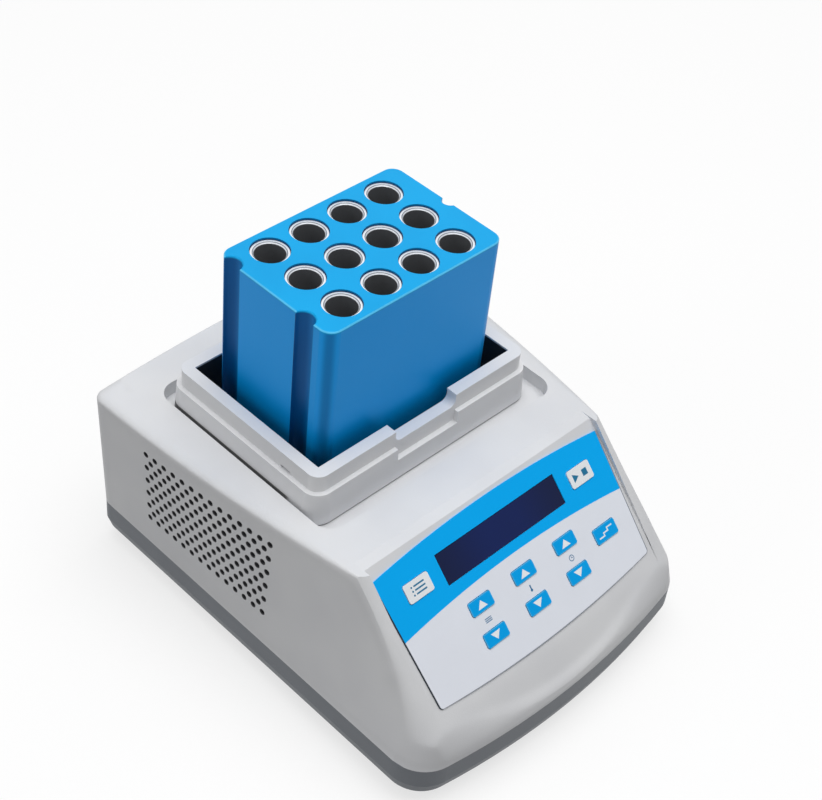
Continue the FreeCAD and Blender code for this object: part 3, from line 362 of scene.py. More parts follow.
@dataclass(frozen=True)
class Stroke:
    """One shape of a printed sign: its middle and its half sizes, which for a ring are its two radii."""

    shape: Shape
    across: float
    up: float
    half_width: float
    half_height: float

    def mask(self, u: Wire, v: Wire) -> Wire:
        """The mask of the shape.

        Args:
            u: The distance to the right of the sign's middle.
            v: The distance up from it.

        Returns:
            The mask.
        """
        u = u - self.across
        v = v - self.up
        if self.shape is Shape.BAR:
            return bar(u, v, self.half_width, self.half_height)
        if self.shape is Shape.SPOT:
            return disc(u, v, self.half_width)
        if self.shape is Shape.RING:
            return disc(u, v, self.half_width) & (1.0 - disc(u, v, self.half_height))
        if self.shape is Shape.RIGHTWARD:
            return wedge(v, u, self.half_height, self.half_width)
        return wedge(u, v if self.shape is Shape.UPWARD else -v, self.half_width, self.half_height)


def printed(sign: tuple[Stroke, ...], u: Wire, v: Wire) -> Wire:
    """The mask of a whole sign about its middle."""
    return reduce(or_, (stroke.mask(u, v) for stroke in sign))


class KeyMark(Enum):
    """What is printed on a key."""

    UP = "up"
    DOWN = "down"
    LIST = "list"
    RUN = "run"
    STEP = "step"


SIGNS: dict[KeyMark, tuple[Stroke, ...]] = {
    KeyMark.UP: (Stroke(Shape.UPWARD, 0.0, 0.0, 3.1, 2.0),),
    KeyMark.DOWN: (Stroke(Shape.DOWNWARD, 0.0, 0.0, 3.1, 2.0),),
    KeyMark.LIST: (
        *(Stroke(Shape.BAR, 1.0, up, 3.4, 0.4) for up in (-2.0, 0.0, 2.0)),
        *(Stroke(Shape.SPOT, -3.8, up, 0.5, 0.5) for up in (-2.0, 0.0, 2.0)),
    ),
    KeyMark.RUN: (
        Stroke(Shape.RIGHTWARD, -3.4, 0.0, 2.0, 2.3), Stroke(Shape.BAR, 3.2, 0.0, 1.8, 1.8),
    ),
    KeyMark.STEP: (
        Stroke(Shape.BAR, -3.6, -1.6, 2.0, 0.35), Stroke(Shape.BAR, -1.6, -0.8, 0.35, 1.1),
        Stroke(Shape.BAR, 0.0, 0.0, 1.9, 0.35), Stroke(Shape.BAR, 1.6, 0.8, 0.35, 1.1),
        Stroke(Shape.BAR, 3.4, 1.6, 2.0, 0.35),
    ),
}
LINES = tuple(Stroke(Shape.BAR, 0.0, up, 2.2, 0.22) for up in (-0.9, 0.0, 0.9))
THERMOMETER = (Stroke(Shape.BAR, 0.0, 0.4, 0.4, 1.3), Stroke(Shape.SPOT, 0.0, -1.1, 0.75, 0.75))
CLOCK = (
    Stroke(Shape.RING, 0.0, 0.0, 1.7, 1.3), Stroke(Shape.BAR, 0.0, 0.5, 0.16, 0.6),
    Stroke(Shape.BAR, 0.4, 0.0, 0.5, 0.16),
)


@dataclass(frozen=True)
class PanelPlane:
    """The sloping panel: where the label's middle is and how steep the slope is."""

    middle_y: float = -82.0
    middle_z: float = 78.25
    tilt: float = math.radians(45.0)

    def up(self, y: Number, z: Number) -> Number:
        """The distance up the slope from the label's middle."""
        return (y - self.middle_y) * math.cos(self.tilt) + (z - self.middle_z) * math.sin(self.tilt)

    def across_and_up(self, graph: Graph) -> tuple[Wire, Wire]:
        """The point on the panel as a distance to the right of the label's middle and one up from it."""
        x, y, z = graph.place()
        return x, self.up(y, z)


@dataclass(frozen=True)
class Moulded:
    """A moulded plastic with a fine grain and faint clouds of tone."""

    name: str
    colour: Colour
    shade: Colour
    roughness: float = 0.5
    grain: float = 0.03
    # The default second colour is the painted shade down the vents of the upper housing.
    second: Colour = screen(66, 67, 70)
    cloud_size: float = 45.0
    cloud_range: tuple[float, float] = (0.25, 0.75)
    grain_size: float = 0.7
    grain_detail: float = 1.0
    rough_spread: float = 0.12

    def marked(self, graph: Graph) -> Optional[Wire]:
        """The mask of what has the second colour on this piece, if anything has: print on some pieces, painted
        shade on others.
        """
        return None

    def rolled(self, graph: Graph) -> Optional[Wire]:
        """The normal that softens this piece's edges, if they look softer than they are."""
        return None

    def material(self) -> bpy.types.Material:
        """Make the finish.

        Returns:
            The material.
        """
        graph = Graph.paint(self.name)
        clouds = graph.noise(self.cloud_size).rise(*self.cloud_range)
        colour = graph.mixed(clouds, self.shade, self.colour)
        # The second colour paints print on some pieces and painted shade on others.
        mask = self.marked(graph)
        if mask is not None:
            colour = graph.mixed(mask, colour, self.second)
        grain = graph.noise(self.grain_size, self.grain_detail)
        rough = self.roughness + (grain - 0.5) * self.rough_spread
        normal = graph.bump(grain, self.grain, self.rolled(graph))
        return graph.surface(Base_Color=colour, Roughness=rough, Normal=normal)


@dataclass(frozen=True)
class VentedMoulding(Moulded):
    """The upper housing's plastic, with painted shade down the staggered round vents of the left wall."""

    vent_radius: float = 1.74
    pitch: float = 6.55
    row_step: float = 4.65
    columns: int = 14
    rows: int = 11
    middle_y: float = 38.0
    middle_z: float = 71.5
    wall_x: float = -80.0
    fade: float = 1.0
    roll: float = 8.0
    roll_clear: float = 3.0
    shoulder_x: float = 86.0
    shoulder_fade: float = 2.0
    seam_z: float = 28.0
    nose_y: float = -60.0
    nose_y_fade: float = 5.0
    nose_z: float = 60.0
    nose_z_fade: float = 4.0

    def marked(self, graph: Graph) -> Wire:
        """The mask of the painted shade in the vents: two grids of spots, two rows apart, the second set half
        a pitch aside.

        Args:
            graph: The material's graph.

        Returns:
            The mask.
        """
        x, y, z = graph.place()
        y = y - self.middle_y
        z = z - self.middle_z
        across = y / self.pitch
        level = z / (2.0 * self.row_step)
        half_height = self.row_step * self.rows / 2.0
        first_row = self.rows // 2 / 2.0 + 0.5
        spots = []
        for aside in (0.0, 0.5):
            u = ((across + aside).fraction() - 0.5) * self.pitch
            v = ((level + aside + first_row).fraction() - 0.5) * (2.0 * self.row_step)
            half_width = self.pitch * (self.columns / 2.0 - aside)
            spots.append(disc(u, v, self.vent_radius) & bar(y, z, half_width, half_height))
        # Painted shade: the vent spots take the dark second colour, on the left wall only.
        return (spots[0] | spots[1]) & x.rise(self.wall_x, self.wall_x - self.fade)

    def rolled(self, graph: Graph) -> Wire:
        """The normal that rolls the outer shoulders and the low nose, clear of the vents and the seam.

        Args:
            graph: The material's graph.

        Returns:
            The normal.
        """
        x, y, z = graph.place()
        shoulders = abs(x).rise(self.shoulder_x - self.shoulder_fade, self.shoulder_x + self.shoulder_fade)
        low = z.rise(self.nose_z + self.nose_z_fade, self.nose_z - self.nose_z_fade)
        nose = low & y.rise(self.nose_y + self.nose_y_fade, self.nose_y - self.nose_y_fade)
        half_width = self.pitch * self.columns / 2.0 + self.roll_clear
        half_height = self.row_step * self.rows / 2.0 + self.roll_clear
        vents = bar(y - self.middle_y, z - self.middle_z, half_width, half_height, self.fade)
        clear_of_seam = z.rise(self.seam_z + self.fade, self.seam_z + self.roll)
        return graph.rolled_edges(self.roll, (shoulders | nose) & clear_of_seam & (1.0 - vents))


@dataclass(frozen=True)
class CollarMoulding(Moulded):
    """The collar's plastic, dark down the inside of its opening, with painted shade in the gaps at its foot.
    """

    # The dark second colour: the inside of the opening, and painted shade in the gaps at the foot.
    second: Colour = screen(26, 28, 31)
    deck: float = 108.0
    wall_x: float = -70.0
    wall_fade: float = 1.0
    corner_y: float = 2.0
    corner_fade: float = 5.0
    gap_share: float = 0.8
    moat_floor: float = 99.5
    groove: float = 0.8
    half_width: float = 66.25
    half_depth: float = 45.5
    middle_y: float = 40.5
    rim: float = 129.0
    rim_edge: float = 1.0
    spare: float = 0.25

    def marked(self, graph: Graph) -> Wire:
        """The mask of the opening's dark walls, and of painted shade in the narrow gap on the left and the
        groove at the foot.

        Args:
            graph: The material's graph.

        Returns:
            The mask.
        """
        x, y, z = graph.place()
        within = bar(x, y - self.middle_y, self.half_width + self.spare, self.half_depth + self.spare)
        lip = self.rim - self.rim_edge
        inside = within & z.rise(lip + self.spare, lip - self.spare)
        left = x.rise(self.wall_x, self.wall_x - self.wall_fade)
        straight = left & y.rise(self.corner_y, self.corner_y + self.corner_fade)
        # Painted shade along the narrow gap on the left, just below the deck.
        gap = z.rise(self.deck + self.spare, self.deck - self.spare) & (straight * self.gap_share)
        foot = self.moat_floor + self.groove
        # The last term is painted shade in the groove at the foot.
        return inside | gap | z.rise(foot + self.spare / 2.0, foot - self.spare / 2.0)


@dataclass(frozen=True)
class RockerMoulding(Moulded):
    """The rocker's plastic, with a bar on its upper half and a ring on its lower half."""

    second: Colour = screen(214, 216, 218)
    middle_x: float = 14.0
    middle_z: float = 60.0
    back_y: float = 122.0
    fade: float = 1.0
    apart: float = 4.2
    reach: float = 1.5
    line: float = 0.3

    def marked(self, graph: Graph) -> Wire:
        """The mask of the two printed marks, on the face towards the back.

        Args:
            graph: The material's graph.

        Returns:
            The mask.
        """
        x, y, z = graph.place()
        marks = (
            Stroke(Shape.BAR, 0.0, self.apart, self.line, self.reach),
            Stroke(Shape.RING, 0.0, -self.apart, self.reach + self.line, self.reach - self.line),
        )
        face = y.rise(self.back_y - self.fade, self.back_y)
        return printed(marks, x - self.middle_x, z - self.middle_z) & face


@dataclass(frozen=True)
class Metal:
    """A bare or plated metal with fine brushing."""

    name: str
    colour: Colour
    roughness: float = 0.35
    metallic: float = 1.0
    dim: float = 0.8
    cloud_size: float = 6.0
    rough_spread: float = 0.2
    brush_size: float = 0.9

    def material(self) -> bpy.types.Material:
        """Make the finish.

        Returns:
            The material.
        """
        graph = Graph.paint(self.name)
        dark = tuple(part * self.dim for part in self.colour)
        colour = graph.mixed(graph.noise(self.cloud_size), dark, self.colour)
        rough = graph.rough(self.roughness, self.rough_spread, self.brush_size)
        return graph.surface(Base_Color=colour, Roughness=rough, Metallic=self.metallic)


@dataclass(frozen=True)
class Sinking:
    """A round zone of a well: how far it reaches, how deep it starts, and how soft both edges are."""

    reach: float
    drop: float
    reach_fade: float = 0.05
    drop_fade: float = 0.1

    def mask(self, radius: Wire, depth: Wire) -> Wire:
        """The mask of the zone, from the distance to the well's axis and the depth below the top."""
        within = radius.rise(self.reach + self.reach_fade, self.reach)
        return within & depth.rise(self.drop - self.drop_fade, self.drop)


@dataclass(frozen=True)
class AnodisedBlock:
    """Blue anodised metal, bright in the stepped mouths of its wells and dark down their bores, with painted
    shade on its sides, grooves and mouth steps, a painted dark reflection on its corners and a painted
    highlight on its top edge.
    """

    name: str = "anodised_block"
    blue: Colour = screen(0, 167, 231)
    deep_blue: Colour = screen(0, 160, 224)
    # Painted shade tint: the sides are a deeper, bluer copy of the top's blue.
    side_shade_blue: Colour = screen(0, 162, 246)
    # Painted shade down the half-round grooves, also the painted dark reflection on the corners.
    flute_shade_and_corner_reflection: Colour = screen(0, 92, 156)
    # Painted highlight along the top edge.
    edge_highlight_blue: Colour = screen(96, 204, 248)
    # Painted shade on the wall of each mouth's step, and darker in the gap at its foot.
    wall_shade_blue: Colour = screen(0, 104, 160)
    foot_shade_blue: Colour = screen(6, 44, 84)
    mouth_bright: Colour = screen(232, 235, 238)
    bore_dark: Colour = screen(98, 100, 103)
    pitch: float = 25.0
    columns: int = 4
    rows: int = 3
    middle_y: float = 40.5
    # Zones of painted shade: the mouth step's wall and the gap at its foot.
    wall: Sinking = Sinking(10.1, 0.3, 0.1, 0.15)
    foot: Sinking = Sinking(10.1, 1.1, 0.1)
    mouth: Sinking = Sinking(9.7, 1.3)
    bore: Sinking = Sinking(7.9, 2.2)
    half_width: float = 58.0
    half_depth: float = 39.0
    corner: float = 7.0
    corner_range: tuple[float, float] = (0.2, 0.65)
    # How strongly the painted dark reflection shows on the rounded corners.
    corner_reflection_share: float = 0.55
    edge_width: float = 0.8
    edge_core: float = 0.6
    edge_highlight_share: tuple[float, float] = (0.6, 0.4)
    edge_highlight_cloud_size: float = 4.0
    flute_x: float = -59.0
    flutes_y: tuple[float, float] = (29.0, -22.0)
    flute_radius: float = 6.3
    flute_lit: float = 0.5
    cloud_size: float = 30.0
    cloud_range: tuple[float, float] = (0.2, 0.8)
    grain: float = 0.02
    grain_size: float = 0.5
    grain_detail: float = 1.0
    roughness: float = 0.4
    rough_spread: float = 0.15
    mouth_polish: float = 0.1
    metallic: float = 0.15
    mouth_metal: float = 0.45
    bore_dull: float = 0.5
    gloss: float = 0.2

    def well_radius(self, x: Wire, y: Wire) -> Wire:
        """The distance from the nearest well's axis, made larger outside the field of wells.

        Args:
            x: The distance to the right of the block's middle.
            y: The distance back from it.

        Returns:
            The distance.
        """
        across = ((x / self.pitch + self.columns / 2.0).fraction() - 0.5) * self.pitch
        along = ((y / self.pitch + self.rows / 2.0).fraction() - 0.5) * self.pitch
        wells = bar(x, y, self.columns * self.pitch / 2.0, self.rows * self.pitch / 2.0)
        return (across * across + along * along).root() + (1.0 - wells) * self.pitch

    def fluted(self, x: Wire, aside: Wire) -> Wire:
        """The mask of painted shade in one half-round groove, darkest in its back half.

        Args:
            x: The distance to the right of the block's middle.
            aside: The distance back from the groove's axis.

        Returns:
            The mask.
        """
        half = self.flute_radius / 2.0
        tone = self.flute_lit + aside.rise(-half, half) * (1.0 - self.flute_lit)
        return disc(x - self.flute_x, aside, self.flute_radius) * tone

    def skin(self, graph: Graph, x: Wire, y: Wire, depth: Wire) -> Wire:
        """The blue of the outside: clouded on top, a deeper painted shade tint on the sides, painted shade
        down the grooves, a painted dark reflection on the corners and a painted highlight on the top edge.

        Args:
            graph: The material's graph.
            x: The distance to the right of the block's middle.
            y: The distance back from it.
            depth: The depth below the top.

        Returns:
            The colour.
        """
        clouds = graph.noise(self.cloud_size).rise(*self.cloud_range)
        face = graph.mixed(clouds, self.deep_blue, self.blue)
        beside = (abs(x) - self.half_width + self.corner) | 0.0
        behind = (abs(y) - self.half_depth + self.corner) | 0.0
        near, far = (self.corner * share for share in self.corner_range)
        # Painted dark reflection down the rounded corners.
        corner_reflection = (beside & behind).rise(near, far) * self.corner_reflection_share
        # Painted shade down the two half-round grooves.
        back, front = (self.fluted(x, y - flute_y) for flute_y in self.flutes_y)
        sides = graph.mixed(back | front | corner_reflection, self.side_shade_blue, self.flute_shade_and_corner_reflection)
        # Painted shade tint: below the top edge the sides take the deeper blue.
        skin = graph.mixed(depth.rise(self.edge_width, self.edge_width * 2.0), face, sides)
        inside = self.corner - (beside * beside + behind * behind).root()
        core = self.edge_width * self.edge_core
        edge = inside.rise(self.edge_width, core) & depth.rise(self.edge_width, core)
        # Painted highlight on the top edge, varying in clouds.
        least, more = self.edge_highlight_share
        return graph.mixed(edge * (least + graph.noise(self.edge_highlight_cloud_size) * more), skin, self.edge_highlight_blue)

    def material(self, top: float) -> bpy.types.Material:
        """Make the finish.

        Args:
            top: The height of the block's top face.

        Returns:
            The material.
        """
        graph = Graph.paint(self.name)
        x, y, z = graph.place()
        y = y - self.middle_y
        depth = top - z
        radius = self.well_radius(x, y)
        mouth = self.mouth.mask(radius, depth)
        bore = self.bore.mask(radius, depth)
        colour = self.skin(graph, x, y, depth)
        # Painted shade on the mouth step's wall and in the gap at its foot.
        colour = graph.mixed(self.wall.mask(radius, depth), colour, self.wall_shade_blue)
        colour = graph.mixed(self.foot.mask(radius, depth), colour, self.foot_shade_blue)
        colour = graph.mixed(mouth, colour, self.mouth_bright)
        colour = graph.mixed(bore, colour, self.bore_dark)
        grain = graph.noise(self.grain_size, self.grain_detail)
        rough = self.roughness + (grain - 0.5) * self.rough_spread - mouth * self.mouth_polish
        metallic = self.metallic + mouth * self.mouth_metal - bore * self.bore_dull
        return graph.surface(
            Base_Color=colour, Roughness=rough, Metallic=metallic, Specular_IOR_Level=self.gloss,
            Normal=graph.bump(grain, self.grain))


@dataclass(frozen=True)
class TurnedLip:
    """Bright turned metal, with painted shade: a fine grey line round the cone below its flat face, and the
    cone a little darker than the flat face.
    """

    name: str = "turned_lip"
    bright: Colour = screen(238, 240, 243)
    # Painted shade: the cone's darker colour and the grey line near its crease.
    cone: Colour = screen(216, 220, 226)
    line: Colour = screen(122, 128, 138)
    line_drop: float = 1.5
    line_half: float = 0.22
    cone_drop: float = 1.8
    roughness: float = 0.34
    rough_spread: float = 0.12
    rough_size: float = 0.9
    metallic: float = 0.5

    def material(self, top: float) -> bpy.types.Material:
        """Make the finish.

        Args:
            top: The height of the block's top face.

        Returns:
            The material.
        """
        graph = Graph.paint(self.name)
        _, _, z = graph.place()
        depth = top - z
        # Painted shade: the cone a little darker than the flat face, with a grey line near the crease.
        coned = graph.mixed(depth.rise(self.line_drop, self.cone_drop), self.bright, self.cone)
        crease_shade_mask = abs(depth - self.line_drop).rise(self.line_half, self.line_half / 2.0)
        colour = graph.mixed(crease_shade_mask, coned, self.line)
        rough = graph.rough(self.roughness, self.rough_spread, self.rough_size)
        return graph.surface(Base_Color=colour, Roughness=rough, Metallic=self.metallic)


@dataclass(frozen=True)
class KeyCap:
    """A moulded key with a printed mark, on a pale or a blue ground."""

    name: str
    mark: KeyMark
    across: float
    up: float
    half_width: float
    half_height: float
    ground: Colour
    ink: Colour
    # The rim: a printed border, lightened as a painted highlight.
    rim: Colour
    rim_width: float = 0.4
    dim: float = 0.9
    cloud_size: float = 9.0
    roughness: float = 0.39
    rough_spread: float = 0.1
    rough_size: float = 0.8
    gloss: float = 0.12

    def material(self, plane: PanelPlane) -> bpy.types.Material:
        """Make the finish.

        Args:
            plane: The sloping panel.

        Returns:
            The material.
        """
        graph = Graph.paint(self.name)
        u, v = plane.across_and_up(graph)
        u = u - self.across
        v = v - self.up
        dim = tuple(part * self.dim for part in self.ground)
        ground = graph.mixed(graph.noise(self.cloud_size), dim, self.ground)
        inside = (self.half_width - abs(u)) & (self.half_height - abs(v))
        # A lighter rim round the key's edge: a printed border and a painted highlight.
        edged = graph.mixed(inside.rise(self.rim_width, self.rim_width / 2.0), ground, self.rim)
        colour = graph.mixed(printed(SIGNS[self.mark], u, v), edged, self.ink)
        rough = graph.rough(self.roughness, self.rough_spread, self.rough_size)
        return graph.surface(Base_Color=colour, Roughness=rough, Specular_IOR_Level=self.gloss)


@dataclass(frozen=True)
class PrintedLabel:
    """The overlay: a blue band over a pale field, with small marks between the keys and a painted shadow along
    its sides and foot.
    """

    name: str = "printed_label"
    blue: Colour = screen(0, 178, 255)
    pale: Colour = screen(240, 244, 253)
    ink: Colour = screen(38, 112, 158)
    # Painted shadow in the gap along the label's sides and foot: dark on the left, grey elsewhere.
    left_gap_shadow: Colour = screen(40, 48, 58)
    rim: Colour = screen(140, 146, 156)
    band_middle: float = 6.4
    band_end: float = 1.06
    band_edge: float = 0.15
    half_top: float = 79.8
    half_low: float = 77.0
    top: float = 34.1
    low: float = 35.4
    low_rise: float = 4.9
    corner: float = 2.0
    rim_width: float = 0.7
    rim_turn: float = 0.97
    mark_up: float = -13.4
    mark_spacing: float = 30.5
    dim: float = 0.95
    cloud_size: float = 18.0
    roughness: float = 0.41
    rough_spread: float = 0.1
    rough_size: float = 1.2
    gloss: float = 0.12

    def marks(self, u: Wire, v: Wire) -> Wire:
        """The mask of the three small marks: lines, a thermometer and a clock.

        Args:
            u: The distance to the right of the panel's middle.
            v: The distance up from it.

        Returns:
            The mask.
        """
        level = v - self.mark_up
        lines = printed(LINES, u + self.mark_spacing, level)
        clock = printed(CLOCK, u - self.mark_spacing, level)
        return lines | printed(THERMOMETER, u, level) | clock

    def within(self, u: Wire, v: Wire, share: Wire) -> Wire:
        """The distance in from the label's outline, which tapers downwards and has a bowed foot.

        Args:
            u: The distance to the right of the panel's middle.
            v: The distance up from it.
            share: The distance to the right as a share of the half width.

        Returns:
            The distance, for points near the outline.
        """
        taper = (self.half_top - self.half_low) / (self.top + self.low)
        side = self.half_low + (v + self.low) * taper
        foot = (1.0 - share * share) * self.low_rise + self.low
        beside = (self.corner - side + abs(u)) | 0.0
        below = (self.corner - foot - v) | 0.0
        return self.corner - (beside * beside + below * below).root()

    def material(self, plane: PanelPlane) -> bpy.types.Material:
        """Make the finish.

        Args:
            plane: The sloping panel.

        Returns:
            The material.
        """
        graph = Graph.paint(self.name)
        u, v = plane.across_and_up(graph)
        share = u / self.half_top
        boundary = self.band_middle - share * share * (self.band_middle - self.band_end)
        band = (v - boundary).rise(-self.band_edge, self.band_edge)
        dim = tuple(part * self.dim for part in self.pale)
        ground = graph.mixed(band, graph.mixed(graph.noise(self.cloud_size), dim, self.pale), self.blue)
        marked = graph.mixed(self.marks(u, v), ground, self.ink)
        # Painted shadow of the gap along the label's sides and foot, dark on the left.
        edge = graph.mixed(u.rise(-self.half_low * self.rim_turn, -self.half_low), self.rim, self.left_gap_shadow)
        gap_shadow_mask = self.within(u, v, share).rise(self.rim_width, self.rim_width / 2.0)
        colour = graph.mixed(gap_shadow_mask, marked, edge)
        rough = graph.rough(self.roughness, self.rough_spread, self.rough_size)
        return graph.surface(Base_Color=colour, Roughness=rough, Specular_IOR_Level=self.gloss)


@dataclass(frozen=True)
class DarkGlass:
    """The display's dark window, with a painted sheen that makes it a little lighter towards its middle."""

    name: str = "dark_glass"
    deep: Colour = screen(4, 20, 62)
    navy: Colour = screen(6, 30, 88)
    # Where and how strongly the painted sheen shows.
    sheen_range: tuple[float, float] = (44.0, 8.0)
    glow: tuple[float, float] = (0.7, 0.3)
    cloud_size: float = 22.0
    roughness: float = 0.33
    rough_spread: float = 0.06
    rough_size: float = 2.0
    gloss: float = 0.16

    def material(self, plane: PanelPlane) -> bpy.types.Material:
        """Make the finish.

        Args:
            plane: The sloping panel.

        Returns:
            The material.
        """
        graph = Graph.paint(self.name)
        u, _ = plane.across_and_up(graph)
        least, more = self.glow
        # Painted sheen: a little lighter towards the window's middle, in clouds.
        glow = abs(u).rise(*self.sheen_range) * (least + graph.noise(self.cloud_size) * more)
        colour = graph.mixed(glow, self.deep, self.navy)
        rough = graph.rough(self.roughness, self.rough_spread, self.rough_size)
        return graph.surface(Base_Color=colour, Roughness=rough, Specular_IOR_Level=self.gloss)


PALE = VentedMoulding("pale_moulding", screen(222, 223, 225), screen(215, 216, 219))
COLLAR = CollarMoulding("collar_moulding", screen(230, 231, 233), screen(224, 225, 228))
SLATE = Moulded("slate_moulding", screen(116, 121, 128), screen(107, 112, 119))
BLACK = Moulded("black_moulding", screen(30, 31, 33), screen(22, 23, 25), 0.42)
BLACK_SHEET = Moulded("black_sheet", screen(22, 23, 26), screen(14, 15, 18), 0.6)
ROCKER = RockerMoulding("rocker_moulding", screen(40, 41, 44), screen(32, 33, 36), 0.3)
RUBBER = Moulded("foot_rubber", screen(36, 36, 37), screen(28, 28, 29), 0.75, 0.05)
FIBRE = Moulded("jacket_fibre", screen(226, 220, 204), screen(204, 198, 182), 0.9, 0.2)
SILICONE = Moulded("element_sheet", screen(176, 92, 48), screen(160, 80, 40), 0.6)
BOARD = Moulded("board_lacquer", screen(28, 112, 66), screen(20, 92, 54), 0.35)
VARNISH = Moulded("core_varnish", screen(92, 88, 84), screen(72, 68, 66), 0.4)
STEEL = Metal("plated_steel", screen(196, 198, 202))
STAGE_STEEL = Metal("stage_steel", screen(180, 184, 190), 0.4)
ALUMINIUM = Metal("milled_aluminium", screen(206, 208, 212), 0.3)
BRASS = Metal("turned_brass", screen(206, 176, 110), 0.3)
BLACK_METAL = Metal("black_fins", screen(44, 45, 48), 0.45, 0.6)


def turned(profile: np.ndarray, centres: np.ndarray, steps: int) -> tuple[np.ndarray, np.ndarray]:
    """Turn a closed profile about upright axes.

    Each point of the profile, a radius and a height, goes round each centre: x and y are the centre plus the
    radius times the cosine and the sine of the turn, and z is the height.

    Args:
        profile: Radius and height of each point, anticlockwise.
        centres: The axes' places across and along.
        steps: The number of steps round each axis.

    Returns:
        The points, and the four corners of each face.
    """
    turn = np.linspace(0.0, 2.0 * np.pi, steps, endpoint=False)
    ring = np.stack((np.cos(turn), np.sin(turn)), axis=-1)
    flat = centres[:, None, None, :] + profile[None, :, :1, None] * ring[None, None]
    height = np.broadcast_to(profile[None, :, 1, None, None], (*flat.shape[:3], 1))
    points = np.concatenate((flat, height), axis=-1)
    index = np.arange(points.size // 3).reshape(points.shape[:3])
    above = np.roll(index, -1, axis=1)
    corners = (index, np.roll(index, -1, axis=2), np.roll(above, -1, axis=2), above)
    return points.reshape(-1, 3), np.stack(corners, axis=-1).reshape(-1, 4)


def add_piece(name: str, points: np.ndarray, faces: np.ndarray,
              material: bpy.types.Material) -> bpy.types.Object:
    """Put a computed surface into the scene.

    Args:
        name: The piece's name.
        points: Its points, in the shared frame.
        faces: The corners of each face.
        material: Its finish.

    Returns:
        The piece.
    """
    mesh = bpy.data.meshes.new(name)
    mesh.from_pydata((points * MILLIMETRE).tolist(), [], faces.tolist())
    mesh.materials.append(material)
    mesh.shade_smooth()
    mesh.set_sharp_from_angle(angle=SHARP_ANGLE)
    piece = bpy.data.objects.new(name, mesh)
    bpy.context.scene.collection.objects.link(piece)
    LOG.info("%s: %d faces, %s", name, len(faces), material.name)
    return piece


@dataclass
class SubAssembly:
    """Some CAD nodes that belong together, and how wide the soft edges of some of them are."""

    soft_edges: dict[str, float] = field(default_factory=dict)
    join_reach: float = 0.005
    edge_steps: int = 2
    edge_angle: float = math.radians(38.0)

    def finishes(self) -> dict[str, bpy.types.Material]:
        """Make the finish of every node, by the node's name."""
        raise NotImplementedError

    def dress(self) -> None:
        """Give every node its finish, report it, and add what else the looks need."""
        for name, material in self.finishes().items():
            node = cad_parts[name]
            node.data.materials.clear()
            node.data.materials.append(material)
            LOG.info("%s: %s", name, material.name)
        self.soften()
        self.build()

    def build(self) -> None:
        """Add the pieces that only the looks need, if there are any."""

    def soften(self) -> None:
        """Turn sharp edges into small round ones."""
        for name, width in self.soft_edges.items():
            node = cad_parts[name]
            weld = node.modifiers.new("joined_faces", "WELD")
            weld.merge_threshold = self.join_reach * MILLIMETRE
            bevel = node.modifiers.new("soft_edges", "BEVEL")
            bevel.width = width * MILLIMETRE
            bevel.segments = self.edge_steps
            bevel.limit_method = "ANGLE"
            bevel.angle_limit = self.edge_angle
            LOG.info("%s: edges softened by %.2f mm", name, width)


@dataclass
class Case(SubAssembly):
    """The two housings with their feet and screws."""

    def finishes(self) -> dict[str, bpy.types.Material]:
        """Make the finish of every node.

        Returns:
            A material for each node's name.
        """
        steel = STEEL.material()
        return {
            "upper_housing": PALE.material(), "lower_housing": SLATE.material(),
            "rubber_feet": RUBBER.material(), "case_screws": steel, "collar_screws": steel,
        }


@dataclass
class Well(SubAssembly):
    """The collar, the sleeve and the heating stage."""

    soft_edges: dict[str, float] = field(default_factory=lambda: {"well_collar": 0.5})

    def finishes(self) -> dict[str, bpy.types.Material]:
        """Make the finish of every node.

        Returns:
            A material for each node's name.
        """
        steel = STAGE_STEEL.material()
        return {
            "well_collar": COLLAR.material(), "well_liner": BLACK_SHEET.material(),
            "heater_plate": ALUMINIUM.material(), "heating_element": SILICONE.material(),
            "insulation_jacket": FIBRE.material(), "stage_shelf": steel, "shelf_posts": steel,
            "temperature_probe": steel, "thermal_cutout": BLACK.material(),
        }


@dataclass
class Block(SubAssembly):
    """The lift-out heating block, and the bright lips of its wells."""

    soft_edges: dict[str, float] = field(default_factory=lambda: {"heating_block": 0.4})
    finish: AnodisedBlock = AnodisedBlock()
    lip: TurnedLip = TurnedLip()
    ring_steps: int = 72
    ring_outer: float = 9.7
    ring_face: float = 8.7
    ring_inner: float = 7.83
    ring_drop: float = 1.25
    ring_base: float = 1.41
    ring_end: float = 2.16
    ring_edge: float = 0.1

    @property
    def top(self) -> float:
        """The height of the block's top face."""
        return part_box("heating_block")[1].z / MILLIMETRE

    def finishes(self) -> dict[str, bpy.types.Material]:
        """Make the finish of the block, by its node's name."""
        return {"heating_block": self.finish.material(self.top)}

    def build(self) -> None:
        """Lay a bright turned lip on the step and the cone of each well's mouth."""
        edge = self.ring_edge
        drops = np.array((
            (self.ring_outer, self.ring_base), (self.ring_outer, self.ring_drop + edge),
            (self.ring_outer - edge, self.ring_drop), (self.ring_face, self.ring_drop),
            (self.ring_face - edge, self.ring_drop + edge), (self.ring_inner, self.ring_end - edge / 2.0),
            (self.ring_inner, self.ring_end), (self.ring_face - edge, self.ring_base),
        ))
        profile = np.stack((drops[:, 0], self.top - drops[:, 1]), axis=-1)
        block = self.finish
        columns = (np.arange(block.columns) - (block.columns - 1) / 2.0) * block.pitch
        rows = (np.arange(block.rows) - (block.rows - 1) / 2.0) * block.pitch + block.middle_y
        centres = np.stack(np.meshgrid(columns, rows), axis=-1).reshape(-1, 2)
        points, faces = turned(profile, centres, self.ring_steps)
        lips = add_piece("mouth_lips", points, faces, self.lip.material(self.top))
        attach(lips, "block")


